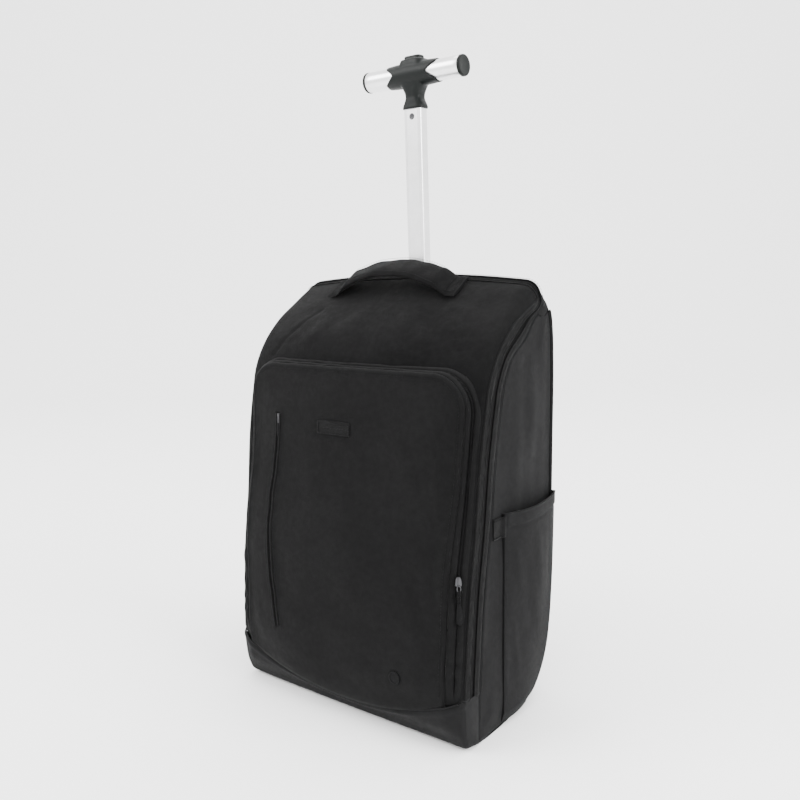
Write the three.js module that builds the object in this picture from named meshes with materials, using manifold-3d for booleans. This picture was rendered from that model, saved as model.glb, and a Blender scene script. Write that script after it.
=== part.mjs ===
// A backpack on two wheels: a cloth body with a front pocket, two side pockets, a carry handle, two
// shoulder straps and a pull handle on one flat pole.
// Millimetres, +Z up, +X to the right of a person who faces the front pocket, the front towards -Y.
// The bag is drawn with Y = 0 at its front foot line. The last step moves it to the middle of its depth.

import * as THREE from 'three';
import { mergeVertices } from 'three/addons/utils/BufferGeometryUtils.js';
import Module from 'manifold-3d';

const wasm = await Module();
wasm.setup();

// Clearances
const gap = 0.3;
const reach = 60;

// Body
const bodyWidth = 330;
const bodyDepth = 168;
const bodyHeight = 475;
const topCrown = 12;
const widthFlare = 0.045;
const clothWall = 3;
const edgeRound = 6;
const seamTuck = 4;
const seamRise = 0.8;
const gussetWidth = 31;
const zipSetback = 17.5;
const zipWidth = 8;
const topZipSetback = 34;
const topBackSetback = 8.5;
const topZipDepth = bodyDepth - topZipSetback;
const topBackDepth = bodyDepth - topBackSetback;
const backTuck = 4;
const sideBandShare = 0.8;
const baseWall = 6;
const baseReach = 12;
const baseSeamSide = 60;
const baseSeamMiddle = 23;
const baseCornerRise = 82;
const baseSteps = 8;

// Front pocket
const pocketWidth = 296;
const pocketDrop = 86;
const pocketTop = bodyHeight - pocketDrop;
const pocketCorner = 38;
const pocketRearCorner = 48;
const pocketRearInset = 2.5;
const pocketFoot = 8;
const pocketFootCorner = 16;
const pocketCrown = 6;
const pocketFlare = 0.09;
const pocketWall = 2.2;
const pocketEdgeRound = 3;
const pocketZipWidth = 5;
const pocketZipEnd = 166;
const pocketRearRise = 3;
const pocketRearSink = 3;
const pocketRimInset = 14;
const pocketSeat = 0.5;
const pocketProbe = 6;
const rimSteps = 8;
const weltSeat = 0.9;
const weltPullLean = 0.06;
const sliderSeat = 1.2;

// Fittings of the front pocket
const sliderZ = 186;
const sliderLength = 10;
const sliderWidth = 6;
const sliderThick = 3.2;
const pullerLength = 40;
const pullerWidth = 6.4;
const pullerThick = 3.4;
const weltDrop = 59;
const weltTop = pocketTop - weltDrop;
const weltWidth = 5;
const weltThick = 1.2;
const weltSteps = 20;
const weltPullLength = 26;
const weltPullWidth = 4.4;
const weltPullThick = 2.4;
const labelX = -14.5;
const labelDrop = 67;
const labelZ = pocketTop - labelDrop;
const labelWidth = 47;
const labelHeight = 15;
const labelThick = 1.2;
const badgeX = 88;
const badgeZ = 71;
const badgeRadius = 7.4;
const badgeThick = 1.4;
const roundSides = 18;

// Side pockets
const sidePocketFront = 57;
const sidePocketTop = 240;
const sidePocketBack = 166;
const sidePocketBulge = 10;
const sidePocketEdge = 4;
const sidePocketWall = 2;
const sidePocketBackTuck = 2;
const sidePocketLowSwell = 0.3;
const tabTop = 237;
const tabHeight = 22;
const tabFront = 40;
const tabThick = 1.6;

// Carry handle
const carrySpan = 160;
const carryEnd = 12;
const carryWidth = 36;
const carryThick = 9;
const carryEndThick = 4;
const carryRise = 20;
const carryX = -6;
const carrySetback = 58;
const carryDepth = bodyDepth - carrySetback;
const carrySeat = 0.7;
const carrySteps = 14;
const carryProbe = 8;
const carryEase = 1.1;
const carryEndEase = 4;
const carryLevel = 0.55;

// Pull handle
const barZ = 711.5;
const collarDrop = 38.5;
const collarFoot = barZ - collarDrop;
const poleSetback = 18;
const poleDepth = bodyDepth - poleSetback;
const poleWidth = 24;
const poleThick = 15;
const poleRound = 3.2;
const poleWall = 1.6;
const poleInHub = 6;
const poleTop = collarFoot + poleInHub;
const poleEngaged = 74;
const stowGap = 1;
const poleClearance = 0.4;
const screwDrop = 8.4;
const screwZ = collarFoot - screwDrop;
const screwRadius = 3.1;
const screwSink = 1.1;
const screwHead = 0.9;
const sleeveSpine = 12;
const sleeveDrop = 50;
const throatWall = 1.2;
const sleeveWall = 2.4;
const sleeveSpare = 12;
const sleeveRound = 3;
const bezelWidth = 46;
const bezelThick = 3;
const bezelDepthSpan = 32;
const bezelRound = 6;
const barLength = 139;
const gripRadius = 11.6;
const gripWall = 1.5;
const gripStart = 35;
const capLength = 4;
const capRadius = 12.1;
const capBevel = 1.2;
const hubRadius = 14;
const hubNotch = 12;
const hubNotchOpen = 0.62;
const hubCrown = 2.5;
const hubSides = 16;
const neckSides = 12;
const neckSquareness = 0.7;
const neckTopWidth = 0.96;
const neckTopDepth = 0.79;
const collarWall = 2.6;
const buttonLength = 22;
const buttonDepth = 13;
const buttonRise = 4;
const buttonTravel = 3;
const buttonWellDepth = 9;
const buttonRound = 4;

// Wheels
const wheelRadius = 31;
const wheelWidth = 22;
const wheelX = 118;
const wheelSetback = 33;
const wheelDepth = bodyDepth - wheelSetback;
const treadThick = 7;
const axleRadius = 4;
const wheelSides = 20;
const tyreShoulder = 2.5;
const hubRing = 4;
const hubDish = 4;
const hubLip = 1;
const housingSides = 20;
const housingMouth = 0.5;
const axleSides = 12;
const housingWall = 3;
const wheelSideClearance = 1.2;
const wheelRimClearance = 3;
const axleBoss = 11;

// Shoulder straps
const strapX = 72;
const strapDrop = 38;
const strapTop = bodyHeight - strapDrop;
const strapPadLength = 241;
const strapPadFoot = strapTop - strapPadLength;
const strapWidth = 62;
const strapThick = 9;
const strapFoot = 92;
const strapSeat = 0.6;
const strapBow = 8;
const strapPadSteps = 12;
const strapWebbingSteps = 6;
const strapEndWidth = 0.55;
const strapEndThick = 0.45;
const strapEndEase = 9;
const webbingWidth = 25;
const webbingThick = 2;
const buckleWidth = 34;
const buckleHeight = 26;
const buckleThick = 4.5;
const buckleRound = 3;

// The body's side outline, from the front foot round the front, the top and the back.
// Columns: share of bodyDepth, share of bodyHeight, share of topCrown by which the middle stands proud.
const bodyOutline = [
  [0.040, 0.000, 0.0],
  [-0.046, 0.010, 0.1],
  [-0.080, 0.036, 0.1],
  [-0.094, 0.076, 0.1],
  [-0.097, 0.116, 0.1],
  [-0.075, 0.232, 0.15],
  [-0.037, 0.358, 0.15],
  [0.018, 0.470, 0.2],
  [0.092, 0.649, 0.25],
  [0.153, 0.737, 0.4],
  [0.208, 0.790, 0.7],
  [0.336, 0.857, 1.0],
  [0.466, 0.900, 1.0],
  [0.616, 0.943, 1.0],
  [0.762, 0.985, 0.9],
  [0.833, 1.000, 0.8],
  [0.887, 0.992, 0.7],
  [0.930, 0.964, 0.7],
  [0.963, 0.934, 0.5],
  [0.988, 0.886, 0.3],
  [1.000, 0.817, 0.2],
  [1.000, 0.632, 0.2],
  [0.994, 0.421, 0.2],
  [0.976, 0.274, 0.2],
  [0.952, 0.190, 0.1],
  [0.917, 0.131, 0.1],
  [0.857, 0.084, 0.0],
  [0.780, 0.050, 0.0],
  [0.667, 0.021, 0.0],
  [0.548, 0.004, 0.0],
  [0.500, 0.000, 0.0],
];
const seamFirstRow = 4;
const seamLastRow = 14;
const backFirstRow = 18;
const backLastRow = 26;
const backFlatRow = 20;
const backSwell = topCrown * bodyOutline[backFlatRow][2];

// Sections of the body along X. Columns: share of half the width, share of topCrown.
const bodySections = [
  [0.00, 1.00],
  [0.35, 0.88],
  [0.65, 0.58],
];

// The body's rounded side edges. Columns: share of edgeRound inwards from the side, share of topCrown,
// share of edgeRound by which the outline is drawn in.
const bodyEdge = [
  [1.0, 0.08, 0.0],
  [0.3, 0.02, 0.3],
  [0.0, 0.00, 1.0],
];

// The front pocket's face seen from the side. Columns: share of bodyHeight, share of bodyDepth.
const pocketFace = [
  [0.000, 0.010],
  [0.021, -0.066],
  [0.053, -0.118],
  [0.120, -0.142],
  [0.280, -0.121],
  [0.398, -0.098],
  [0.472, -0.058],
  [0.600, 0.021],
  [0.693, 0.053],
  [0.747, 0.065],
  [0.821, 0.068],
];

// The pocket's face is drawn in towards its middle ring by ring. Column: share of the face's size.
const pocketFaceRings = [0.82, 0.5, 0.12];

// The welt zip on the pocket's left. Columns: share of pocketWidth from the middle, share of weltTop.
const weltLine = [
  [-0.338, 1.000],
  [-0.343, 0.900],
  [-0.350, 0.760],
  [-0.352, 0.620],
  [-0.336, 0.420],
  [-0.304, 0.262],
];

// The carry handle's cross-section. Columns: share of half the width, share of the thickness.
const carrySection = [
  [-1.00, 0.25],
  [-0.83, 0.00],
  [0.83, 0.00],
  [1.00, 0.25],
  [1.00, 0.75],
  [0.83, 1.00],
  [0.00, 1.08],
  [-0.83, 1.00],
  [-1.00, 0.75],
];

// The neck between the pole's collar and the bar. Columns: share of the way from the collar's foot to the
// bar's axis, share of the collar's half width, share of its half depth.
const neckShape = [
  [0.00, 1.00, 1.00],
  [0.13, 0.93, 0.95],
  [0.24, 0.76, 0.93],
  [0.34, 0.69, 0.89],
  [0.57, 0.86, 0.99],
  [1.00, 1.30, 1.19],
];

// A strap's cross-section. Columns: share of half the width, share of the thickness.
const strapSection = [
  [-1.0, 0.0],
  [-0.9, 0.8],
  [0.0, 1.0],
  [0.9, 0.8],
  [1.0, 0.0],
  [0.0, 0.0],
];

const grey = (r, g, b, roughness, metalness = 0) => new THREE.MeshStandardMaterial({
  color: new THREE.Color().setRGB(r / 255, g / 255, b / 255, THREE.SRGBColorSpace),
  roughness, metalness, flatShading: true,
});
const finishes = {
  shell: grey(36, 37, 39, 0.9),
  gusset: grey(34, 35, 37, 0.9),
  side: grey(50, 51, 54, 0.9),
  base: grey(42, 43, 45, 0.9),
  zip: grey(22, 22, 24, 0.7),
  webbing: grey(28, 28, 30, 0.85),
  trim: grey(26, 26, 28, 0.6),
  plastic: grey(30, 32, 32, 0.45),
  slider: grey(70, 70, 72, 0.35, 0.9),
  aluminium: grey(196, 196, 198, 0.3, 1),
  rubber: grey(28, 28, 28, 0.85),
};

// Solids from closed geometries and back

function toSolid(geometry) {
  const bare = geometry.clone();
  bare.deleteAttribute('normal');
  bare.deleteAttribute('uv');
  const merged = mergeVertices(bare, 1e-4);
  const mesh = new wasm.Mesh({
    numProp: 3,
    vertProperties: new Float32Array(merged.attributes.position.array),
    triVerts: new Uint32Array(merged.index.array),
  });
  mesh.merge();
  return new wasm.Manifold(mesh);
}

function toGeometry(solid) {
  const mesh = solid.getMesh();
  const geometry = new THREE.BufferGeometry();
  geometry.setAttribute('position', new THREE.BufferAttribute(new Float32Array(mesh.vertProperties), 3));
  geometry.setIndex(new THREE.BufferAttribute(new Uint32Array(mesh.triVerts), 1));
  geometry.computeVertexNormals();
  return geometry;
}

// A prism of an outline in (Y, Z), from x0 to x1
function prismX(outline, x0, x1) {
  const shape = new THREE.Shape(outline.map(([y, z]) => new THREE.Vector2(y, z)));
  const geometry = new THREE.ExtrudeGeometry(shape, { depth: x1 - x0, bevelEnabled: false });
  const axes = new THREE.Matrix4().makeBasis(
    new THREE.Vector3(0, 1, 0), new THREE.Vector3(0, 0, 1), new THREE.Vector3(1, 0, 0));
  return geometry.applyMatrix4(axes).translate(x0, 0, 0);
}

// A prism of an outline in (X, Z), from y0 to y1
function prismY(outline, y0, y1) {
  const shape = new THREE.Shape(outline.map(([x, z]) => new THREE.Vector2(x, z)));
  const geometry = new THREE.ExtrudeGeometry(shape, { depth: y1 - y0, bevelEnabled: false });
  const axes = new THREE.Matrix4().makeBasis(
    new THREE.Vector3(1, 0, 0), new THREE.Vector3(0, 0, 1), new THREE.Vector3(0, -1, 0));
  return geometry.applyMatrix4(axes).translate(0, y1, 0);
}

function box(x0, x1, y0, y1, z0, z1) {
  return new THREE.BoxGeometry(x1 - x0, y1 - y0, z1 - z0)
    .translate((x0 + x1) / 2, (y0 + y1) / 2, (z0 + z1) / 2);
}

// A closed skin over rings of points that all have the same count. flat names the two axes in which the
// first and the last ring are triangulated.
function loft(rings, flat) {
  const count = rings[0].length;
  const points = rings.flat();
  const triangles = [];
  for (let r = 0; r + 1 < rings.length; r += 1) {
    for (let i = 0; i < count; i += 1) {
      const a = r * count + i;
      const b = r * count + (i + 1) % count;
      triangles.push([a, b, b + count], [a, b + count, a + count]);
    }
  }
  const cap = (ring, start, flip) => {
    const outline = ring.map((p) => new THREE.Vector2(p[flat[0]], p[flat[1]]));
    const clockwise = THREE.ShapeUtils.isClockWise(outline);
    const order = ring.map((_, i) => i);
    if (clockwise) order.reverse();
    const faces = THREE.ShapeUtils.triangulateShape(order.map((i) => outline[i]), []);
    for (const face of faces) {
      const corners = face.map((k) => start + order[k]);
      if (flip !== clockwise) corners.reverse();
      triangles.push(corners);
    }
  };
  cap(rings[0], 0, true);
  cap(rings[rings.length - 1], (rings.length - 1) * count, false);
  return closedGeometry(points, triangles);
}

function closedGeometry(points, triangles) {
  let volume = 0;
  for (const [a, b, c] of triangles) {
    const [p, q, s] = [points[a], points[b], points[c]].map((v) => new THREE.Vector3(...v));
    volume += p.dot(q.cross(s));
  }
  const faces = volume < 0 ? triangles.map(([a, b, c]) => [a, c, b]) : triangles;
  const geometry = new THREE.BufferGeometry();
  geometry.setAttribute('position', new THREE.Float32BufferAttribute(points.flat(), 3));
  geometry.setIndex(faces.flat());
  geometry.computeVertexNormals();
  return geometry;
}

// Moves every point of a line to its left by a distance; closed lines join their ends.
function shiftLine(line, distance, closed = false) {
  const n = line.length;
  return line.map(([u, v], i) => {
    const before = line[closed ? (i + n - 1) % n : Math.max(i - 1, 0)];
    const after = line[closed ? (i + 1) % n : Math.min(i + 1, n - 1)];
    const du = after[0] - before[0];
    const dv = after[1] - before[1];
    const length = Math.hypot(du, dv);
    return [u - dv / length * distance, v + du / length * distance];
  });
}

function atHeight(table, z) {
  const last = table.length - 1;
  let i = 0;
  while (i < last - 1 && table[i + 1][0] < z) i += 1;
  const [z0, y0] = table[i];
  const [z1, y1] = table[i + 1];
  const share = THREE.MathUtils.clamp((z - z0) / (z1 - z0), 0, 1);
  return y0 + (y1 - y0) * share;
}

// Body: a loft of its side outline along X
const halfWidth = bodyWidth / 2;
const outlineRows = bodyOutline.map(([d, h]) => [d * bodyDepth, h * bodyHeight]);

// Widths grow a little from the foot to the top.
function flared(x, z, flare) {
  return x * (1 + flare * (z / bodyHeight - 0.5));
}

function bodyRing(x, crown, inset) {
  const shifted = shiftLine(outlineRows, -inset, true);
  const proud = shiftLine(outlineRows, 1 - inset, true);
  return shifted.map(([y, z], i) => {
    const share = crown * topCrown * bodyOutline[i][2];
    const out = [y + (proud[i][0] - y) * share, z + (proud[i][1] - z) * share];
    return [flared(x, out[1], widthFlare), out[0], out[1]];
  });
}

// grow makes the body larger all round, or smaller when it is negative.
function bodySolid(grow) {
  const half = halfWidth + grow;
  const inner = bodySections.map(([share, crown]) => [share * halfWidth, crown, 0]);
  const rounded = bodyEdge.map(([inwards, crown, inset]) => [
    half - edgeRound * inwards, crown, edgeRound * inset]);
  const right = inner.concat(rounded);
  const left = right.slice(1).reverse().map(([x, crown, inset]) => [-x, crown, inset]);
  const rings = left.concat(right).map(([x, crown, inset]) => bodyRing(x, crown, inset - grow));
  return toSolid(loft(rings, [1, 2]));
}

const bodyOuter = bodySolid(0);
const bodyInner = bodySolid(-clothWall);
const bodyGrown = bodySolid(gap);

// Seam lines on the sides, measured inwards from the body's front edge
const frontEdge = outlineRows.slice(seamFirstRow, seamLastRow + 1);
const skyZ = bodyHeight + reach;

function seamCurve(setback, topDepth) {
  const line = shiftLine(frontEdge, -setback).filter(([y]) => y < topDepth - 1);
  const [lastY, lastZ] = line[line.length - 1];
  const first = line[0];
  return [[first[0], -reach], ...line, [topDepth, lastZ + (topDepth - lastY) * seamRise], [topDepth, skyZ]];
}

// The region between two seam curves, as a prism across the whole bag
function between(front, rear) {
  return toSolid(prismX([...front, ...rear.slice().reverse()], -halfWidth - reach, halfWidth + reach));
}

const zipFront = zipSetback - zipWidth / 2;
const zipRear = zipSetback + zipWidth / 2;
const topZipFront = topZipDepth - zipWidth / 2;
const topZipRear = topZipDepth + zipWidth / 2;
const farFront = [[-bodyDepth - reach, -reach], [-bodyDepth - reach, skyZ]];
const farRear = [[bodyDepth + reach, -reach], [bodyDepth + reach, skyZ]];

// The base: the front below a dipped seam, the floor and the round corner behind it
function baseSeam(x) {
  const share = Math.min(Math.abs(x) / halfWidth, 1);
  return baseSeamMiddle + (baseSeamSide - baseSeamMiddle) * share * share;
}

function baseRegion(grow) {
  const dip = [];
  for (let i = 0; i <= baseSteps; i += 1) {
    const x = halfWidth * (2 * i / baseSteps - 1);
    dip.push([x, baseSeam(x) + grow]);
  }
  const side = halfWidth + reach;
  const front = prismY([[-side, -reach], [side, -reach], [side, baseSeamSide + grow],
    ...dip.reverse(), [-side, baseSeamSide + grow]], -bodyDepth, baseReach + grow);
  const corner = outlineRows.filter(([, z], i) => i > seamLastRow && z < baseCornerRise);
  const inside = shiftLine(corner, -baseWall - grow);
  const [, endZ] = inside[inside.length - 1];
  const floor = prismX([[-bodyDepth, -reach], [bodyDepth + reach, -reach],
    [bodyDepth + reach, inside[0][1]], ...inside, [-bodyDepth, endZ]], -side, side);
  return toSolid(front).add(toSolid(floor));
}

// Front pocket: a pillow whose rim flares back to the body's front edge
const pocketRows = pocketFace.map(([h, d]) => [h * bodyHeight, d * bodyDepth]);
const frontRows = outlineRows.slice(0, seamLastRow + 1).map(([y, z]) => [z, y]);
const pocketFaceY = (z) => atHeight(pocketRows, z);
const bodyFrontY = (z) => atHeight(frontRows, z);

const footSteps = 2;
const sideSteps = 6;
const cornerSteps = 4;

function pocketOutline(halfW, top, corner, foot) {
  const points = [];
  const arc = (cx, cz, radius, from, steps) => {
    for (let i = 0; i <= steps; i += 1) {
      const angle = (from + 90 * i / steps) * Math.PI / 180;
      points.push([cx + radius * Math.cos(angle), cz + radius * Math.sin(angle)]);
    }
  };
  const side = (x, z0, z1, steps) => {
    for (let i = 1; i < steps; i += 1) points.push([x, z0 + (z1 - z0) * i / steps]);
  };
  const low = foot + pocketFootCorner;
  arc(halfW - pocketFootCorner, low, pocketFootCorner, -90, footSteps);
  side(halfW, low, top - corner, sideSteps);
  arc(halfW - corner, top - corner, corner, 0, cornerSteps);
  arc(-halfW + corner, top - corner, corner, 90, cornerSteps);
  side(-halfW, top - corner, low, sideSteps);
  arc(-halfW + pocketFootCorner, low, pocketFootCorner, 180, footSteps);
  return points;
}

// shrink makes the pillow smaller all round; the same outline steps keep its facets in line.
function pocketSolid(shrink) {
  const half = pocketWidth / 2 - shrink;
  const rearHalf = halfWidth - pocketRearInset - shrink;
  const rearTop = pocketTop + pocketRearRise - shrink;
  const rear = pocketOutline(rearHalf, rearTop, pocketRearCorner, pocketFoot + shrink);
  const front = pocketOutline(half, pocketTop - shrink, pocketCorner - shrink, pocketFoot + shrink);
  const middleZ = (pocketTop + pocketFoot) / 2;
  const spread = (outline, scale, y, flare = pocketFlare) => outline.map(([x, z]) => {
    const sx = x * scale;
    const sz = middleZ + (z - middleZ) * scale;
    return [flared(sx, sz, flare), y(sx, sz), sz];
  });
  const face = (x, z) => {
    const u = x / half;
    const v = (z - middleZ) / (pocketTop - middleZ);
    return pocketFaceY(z) + shrink - pocketCrown * Math.max(0, 1 - u * u) * Math.max(0, 1 - v * v);
  };
  const rings = [
    spread(rear, 1, (x, z) => bodyFrontY(z) + topCrown + edgeRound, widthFlare),
    spread(rear, 1, (x, z) => bodyFrontY(z) + pocketRearSink, widthFlare),
    spread(front, 1, (x, z) => pocketFaceY(z) + shrink + pocketEdgeRound),
    spread(front, 1 - pocketEdgeRound / half, face),
    ...pocketFaceRings.map((share) => spread(front, share, face)),
  ];
  return toSolid(loft(rings, [0, 2]));
}

const pocketOuter = pocketSolid(0);
const pocketHollow = pocketSolid(pocketWall).subtract(bodyOuter);

// Curves that part the pocket's rim into the panel, the zip and the rear gusset
function rimCurve(shift) {
  const line = [];
  for (let i = 0; i <= rimSteps; i += 1) {
    const z = (pocketTop + reach) * i / rimSteps;
    line.push([(pocketFaceY(z) + bodyFrontY(z)) / 2 + shift, z]);
  }
  return [[line[0][0], -reach], ...line, [line[line.length - 1][0], skyZ]];
}

const group = new THREE.Group();

function addNode(name, geometry, material) {
  const mesh = new THREE.Mesh(geometry, material);
  mesh.name = name;
  group.add(mesh);
  return mesh;
}

function sides(make) {
  make('right', 1);
  make('left', -1);
}

// Wheel housings: an arched cup around each wheel, with an axle across it
const wheelZ = wheelRadius * Math.cos(Math.PI / wheelSides);
const housingHalf = wheelWidth / 2 + wheelSideClearance + housingWall;
const cavityRadius = wheelRadius + wheelRimClearance;

function rod(radius, x0, x1, y, z, segments) {
  return new THREE.CylinderGeometry(radius, radius, x1 - x0, segments)
    .rotateZ(Math.PI / 2).translate((x0 + x1) / 2, y, z);
}

function housingEnvelope(centre, grow) {
  const x0 = centre - housingHalf - grow;
  const x1 = centre + housingHalf + grow;
  const r = cavityRadius + housingWall + grow;
  const arch = toSolid(rod(r, x0, x1, wheelDepth, wheelZ, housingSides));
  const below = toSolid(box(x0, x1, wheelDepth - r, wheelDepth + r, -reach, wheelZ));
  return arch.add(below);
}

function housing(centre) {
  const x0 = centre - wheelWidth / 2 - wheelSideClearance;
  const x1 = centre + wheelWidth / 2 + wheelSideClearance;
  const farBack = bodyDepth + reach;
  const cavity = toSolid(rod(cavityRadius, x0, x1, wheelDepth, wheelZ, housingSides))
    .add(toSolid(box(x0, x1, wheelDepth - cavityRadius, farBack, -reach, wheelZ)))
    .add(toSolid(box(x0, x1, wheelDepth, farBack, -reach, wheelZ + cavityRadius * housingMouth)));
  const across = [centre - housingHalf, centre + housingHalf, wheelDepth, wheelZ];
  const boss = toSolid(rod(axleBoss, ...across, roundSides));
  const axle = toSolid(rod(axleRadius, ...across, axleSides));
  return housingEnvelope(centre, 0).intersect(bodyOuter).add(boss).subtract(cavity).add(axle);
}

function wheelHoles() {
  return housingEnvelope(wheelX, gap).add(housingEnvelope(-wheelX, gap));
}

// Pull handle's way through the top, shared by the gusset, the bezel and the sleeve
const slotWidth = poleWidth + 2 * poleClearance;
const slotThick = poleThick + 2 * poleClearance;
const sleeveTop = bodyHeight - sleeveDrop;

function roundedRect(width, height, radius, segments = 2) {
  const shape = new THREE.Shape();
  const w = width / 2;
  const h = height / 2;
  shape.absarc(w - radius, h - radius, radius, 0, Math.PI / 2);
  shape.absarc(-w + radius, h - radius, radius, Math.PI / 2, Math.PI);
  shape.absarc(-w + radius, -h + radius, radius, Math.PI, 1.5 * Math.PI);
  shape.absarc(w - radius, -h + radius, radius, 1.5 * Math.PI, 2 * Math.PI);
  return new THREE.Shape(shape.getPoints(segments));
}

function column(shape, y, z0, z1) {
  return new THREE.ExtrudeGeometry(shape, { depth: z1 - z0, bevelEnabled: false }).translate(0, y, z0);
}

// Body panels, cut out of one shell
function buildBody() {
  const shell = bodyOuter.subtract(bodyInner);
  const cloth = shell.subtract(baseRegion(gap)).subtract(wheelHoles());
  const half = gap / 2;
  const c1 = (d) => seamCurve(seamTuck + d, topZipFront - 2 * gap + d);
  const c2 = (d) => seamCurve(zipFront + d, topZipFront + d);
  const c3 = (d) => seamCurve(zipRear + d, topZipRear + d);
  const c4 = (d) => seamCurve(gussetWidth + d, topBackDepth + d);

  const frontTop = cloth.intersect(between(farFront, c1(-half)));
  addNode('front_top_panel', toGeometry(frontTop), finishes.shell);

  const strip = cloth.intersect(between(c1(half), c2(-half)));
  const gussetTop = c1(0).at(-2)[1] - gap;
  const holeWidth = slotWidth / 2 + sleeveWall + gap;
  const holeDepth = slotThick / 2 + throatWall + gap;
  const poleHole = toSolid(box(-holeWidth, holeWidth, poleDepth - holeDepth, poleDepth + holeDepth,
    sleeveTop, skyZ));
  addNode('main_zip', toGeometry(cloth.intersect(between(c2(half), c3(-half)))), finishes.zip);
  const rear = cloth.intersect(between(c3(half), c4(-half))).subtract(poleHole);
  addNode('rear_gusset', toGeometry(rear), finishes.gusset);

  const behind = cloth.intersect(between(c4(half), farRear));
  const backRows = outlineRows.slice(backFirstRow, backLastRow + 1).reverse();
  const backCut = (d) => {
    const line = shiftLine(backRows, backTuck - d);
    const top = topBackDepth + d;
    return [[line[0][0], -reach], ...line, [top, line.at(-1)[1] + backTuck], [top, skyZ]];
  };
  const backSolid = behind.intersect(between(backCut(half), farRear)).subtract(poleHole);
  addNode('back_panel', toGeometry(backSolid), finishes.shell);
  const sidePair = behind.intersect(between(farFront, backCut(-half)));
  sides((name, sign) => {
    const x0 = sign > 0 ? halfWidth * sideBandShare : -halfWidth - reach;
    const x1 = sign > 0 ? halfWidth + reach : -halfWidth * sideBandShare;
    const band = toSolid(box(x0, x1, -bodyDepth, bodyDepth + reach, -reach, skyZ));
    const below = toSolid(box(x0, x1, -bodyDepth, bodyDepth + reach, -reach, gussetTop));
    addNode(`front_gusset_${name}`, toGeometry(strip.intersect(below)), finishes.gusset);
    addNode(`side_panel_${name}`, toGeometry(sidePair.intersect(band)), finishes.side);
  });

  const base = bodyOuter.add(pocketOuter).subtract(bodyInner).subtract(pocketHollow)
    .intersect(baseRegion(0)).subtract(wheelHoles());
  addNode('base_panel', toGeometry(base), finishes.base);
}

// Front pocket: the panel, its zip, the folded gusset below the zip's end and the gusset behind it
function buildFrontPocket() {
  const shell = pocketOuter.subtract(pocketHollow).subtract(bodyGrown).subtract(baseRegion(gap));
  const half = gap / 2;
  const zipHalf = pocketZipWidth / 2;
  const front = (d) => rimCurve(-zipHalf + d);
  const rear = (d) => rimCurve(zipHalf + d);
  const field = (grow) => {
    const w = pocketWidth / 2 - pocketRimInset + grow;
    return toSolid(box(-w, w, -bodyDepth, bodyDepth, -reach, pocketTop - pocketRimInset + grow));
  };
  const face = between(farFront, front(-half)).add(field(0));
  addNode('front_pocket_panel', toGeometry(shell.intersect(face)), finishes.shell);
  const rim = shell.subtract(field(gap));
  addNode('front_pocket_gusset', toGeometry(rim.intersect(between(rear(half), farRear))), finishes.gusset);
  const band = rim.intersect(between(front(half), rear(-half)));
  const side = halfWidth + reach;
  const above = toSolid(box(-side, side, -bodyDepth, bodyDepth, pocketZipEnd, skyZ));
  addNode('front_pocket_zip', toGeometry(band.intersect(above)), finishes.zip);
  sides((name, sign) => {
    const x0 = sign > 0 ? 0 : -side;
    const below = toSolid(box(x0, x0 + side, -bodyDepth, bodyDepth, baseSeamMiddle, pocketZipEnd - gap));
    addNode(`front_pocket_fold_${name}`, toGeometry(band.intersect(below)), finishes.gusset);
  });
}

// Finds where a straight line first meets a solid, for what is sewn or laid on it
function prober(solid) {
  const bothSides = new THREE.MeshStandardMaterial({ side: THREE.DoubleSide });
  const target = new THREE.Mesh(toGeometry(solid), bothSides);
  target.updateMatrixWorld();
  return (from, direction) => {
    const caster = new THREE.Raycaster(new THREE.Vector3(...from), new THREE.Vector3(...direction));
    return caster.intersectObject(target)[0].point;
  };
}

const probePocket = prober(pocketOuter);
const probeBody = prober(bodyOuter);
const farOut = bodyHeight + reach;
const pocketY = (x, z) => probePocket([x, -farOut, z], [0, 1, 0]).y;
const backY = (x, z) => probeBody([x, farOut, z], [0, -1, 0]).y;
const topZ = (x, y) => probeBody([x, y, 2 * farOut], [0, 0, -1]).z;

// The pocket's face at a point, and its lean there
function pocketPoint(x, z) {
  const slope = (pocketY(x, z + pocketProbe) - pocketY(x, z - pocketProbe)) / (2 * pocketProbe);
  return { y: pocketY(x, z), tilt: Math.atan(slope) };
}

// Sets a flat piece, drawn in (X, Z) with its back at Y = 0, on the pocket's face.
function sewOnPocket(name, geometry, x, z, material) {
  const { y, tilt } = pocketPoint(x, z);
  const mesh = addNode(name, geometry, material);
  mesh.position.set(x, y - pocketSeat, z);
  mesh.rotation.x = -tilt;
  return mesh;
}

function plate(width, height, thick, round) {
  const shape = roundedRect(width, height, round, 1);
  return new THREE.ExtrudeGeometry(shape, { depth: thick, bevelEnabled: false }).rotateX(Math.PI / 2);
}

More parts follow.
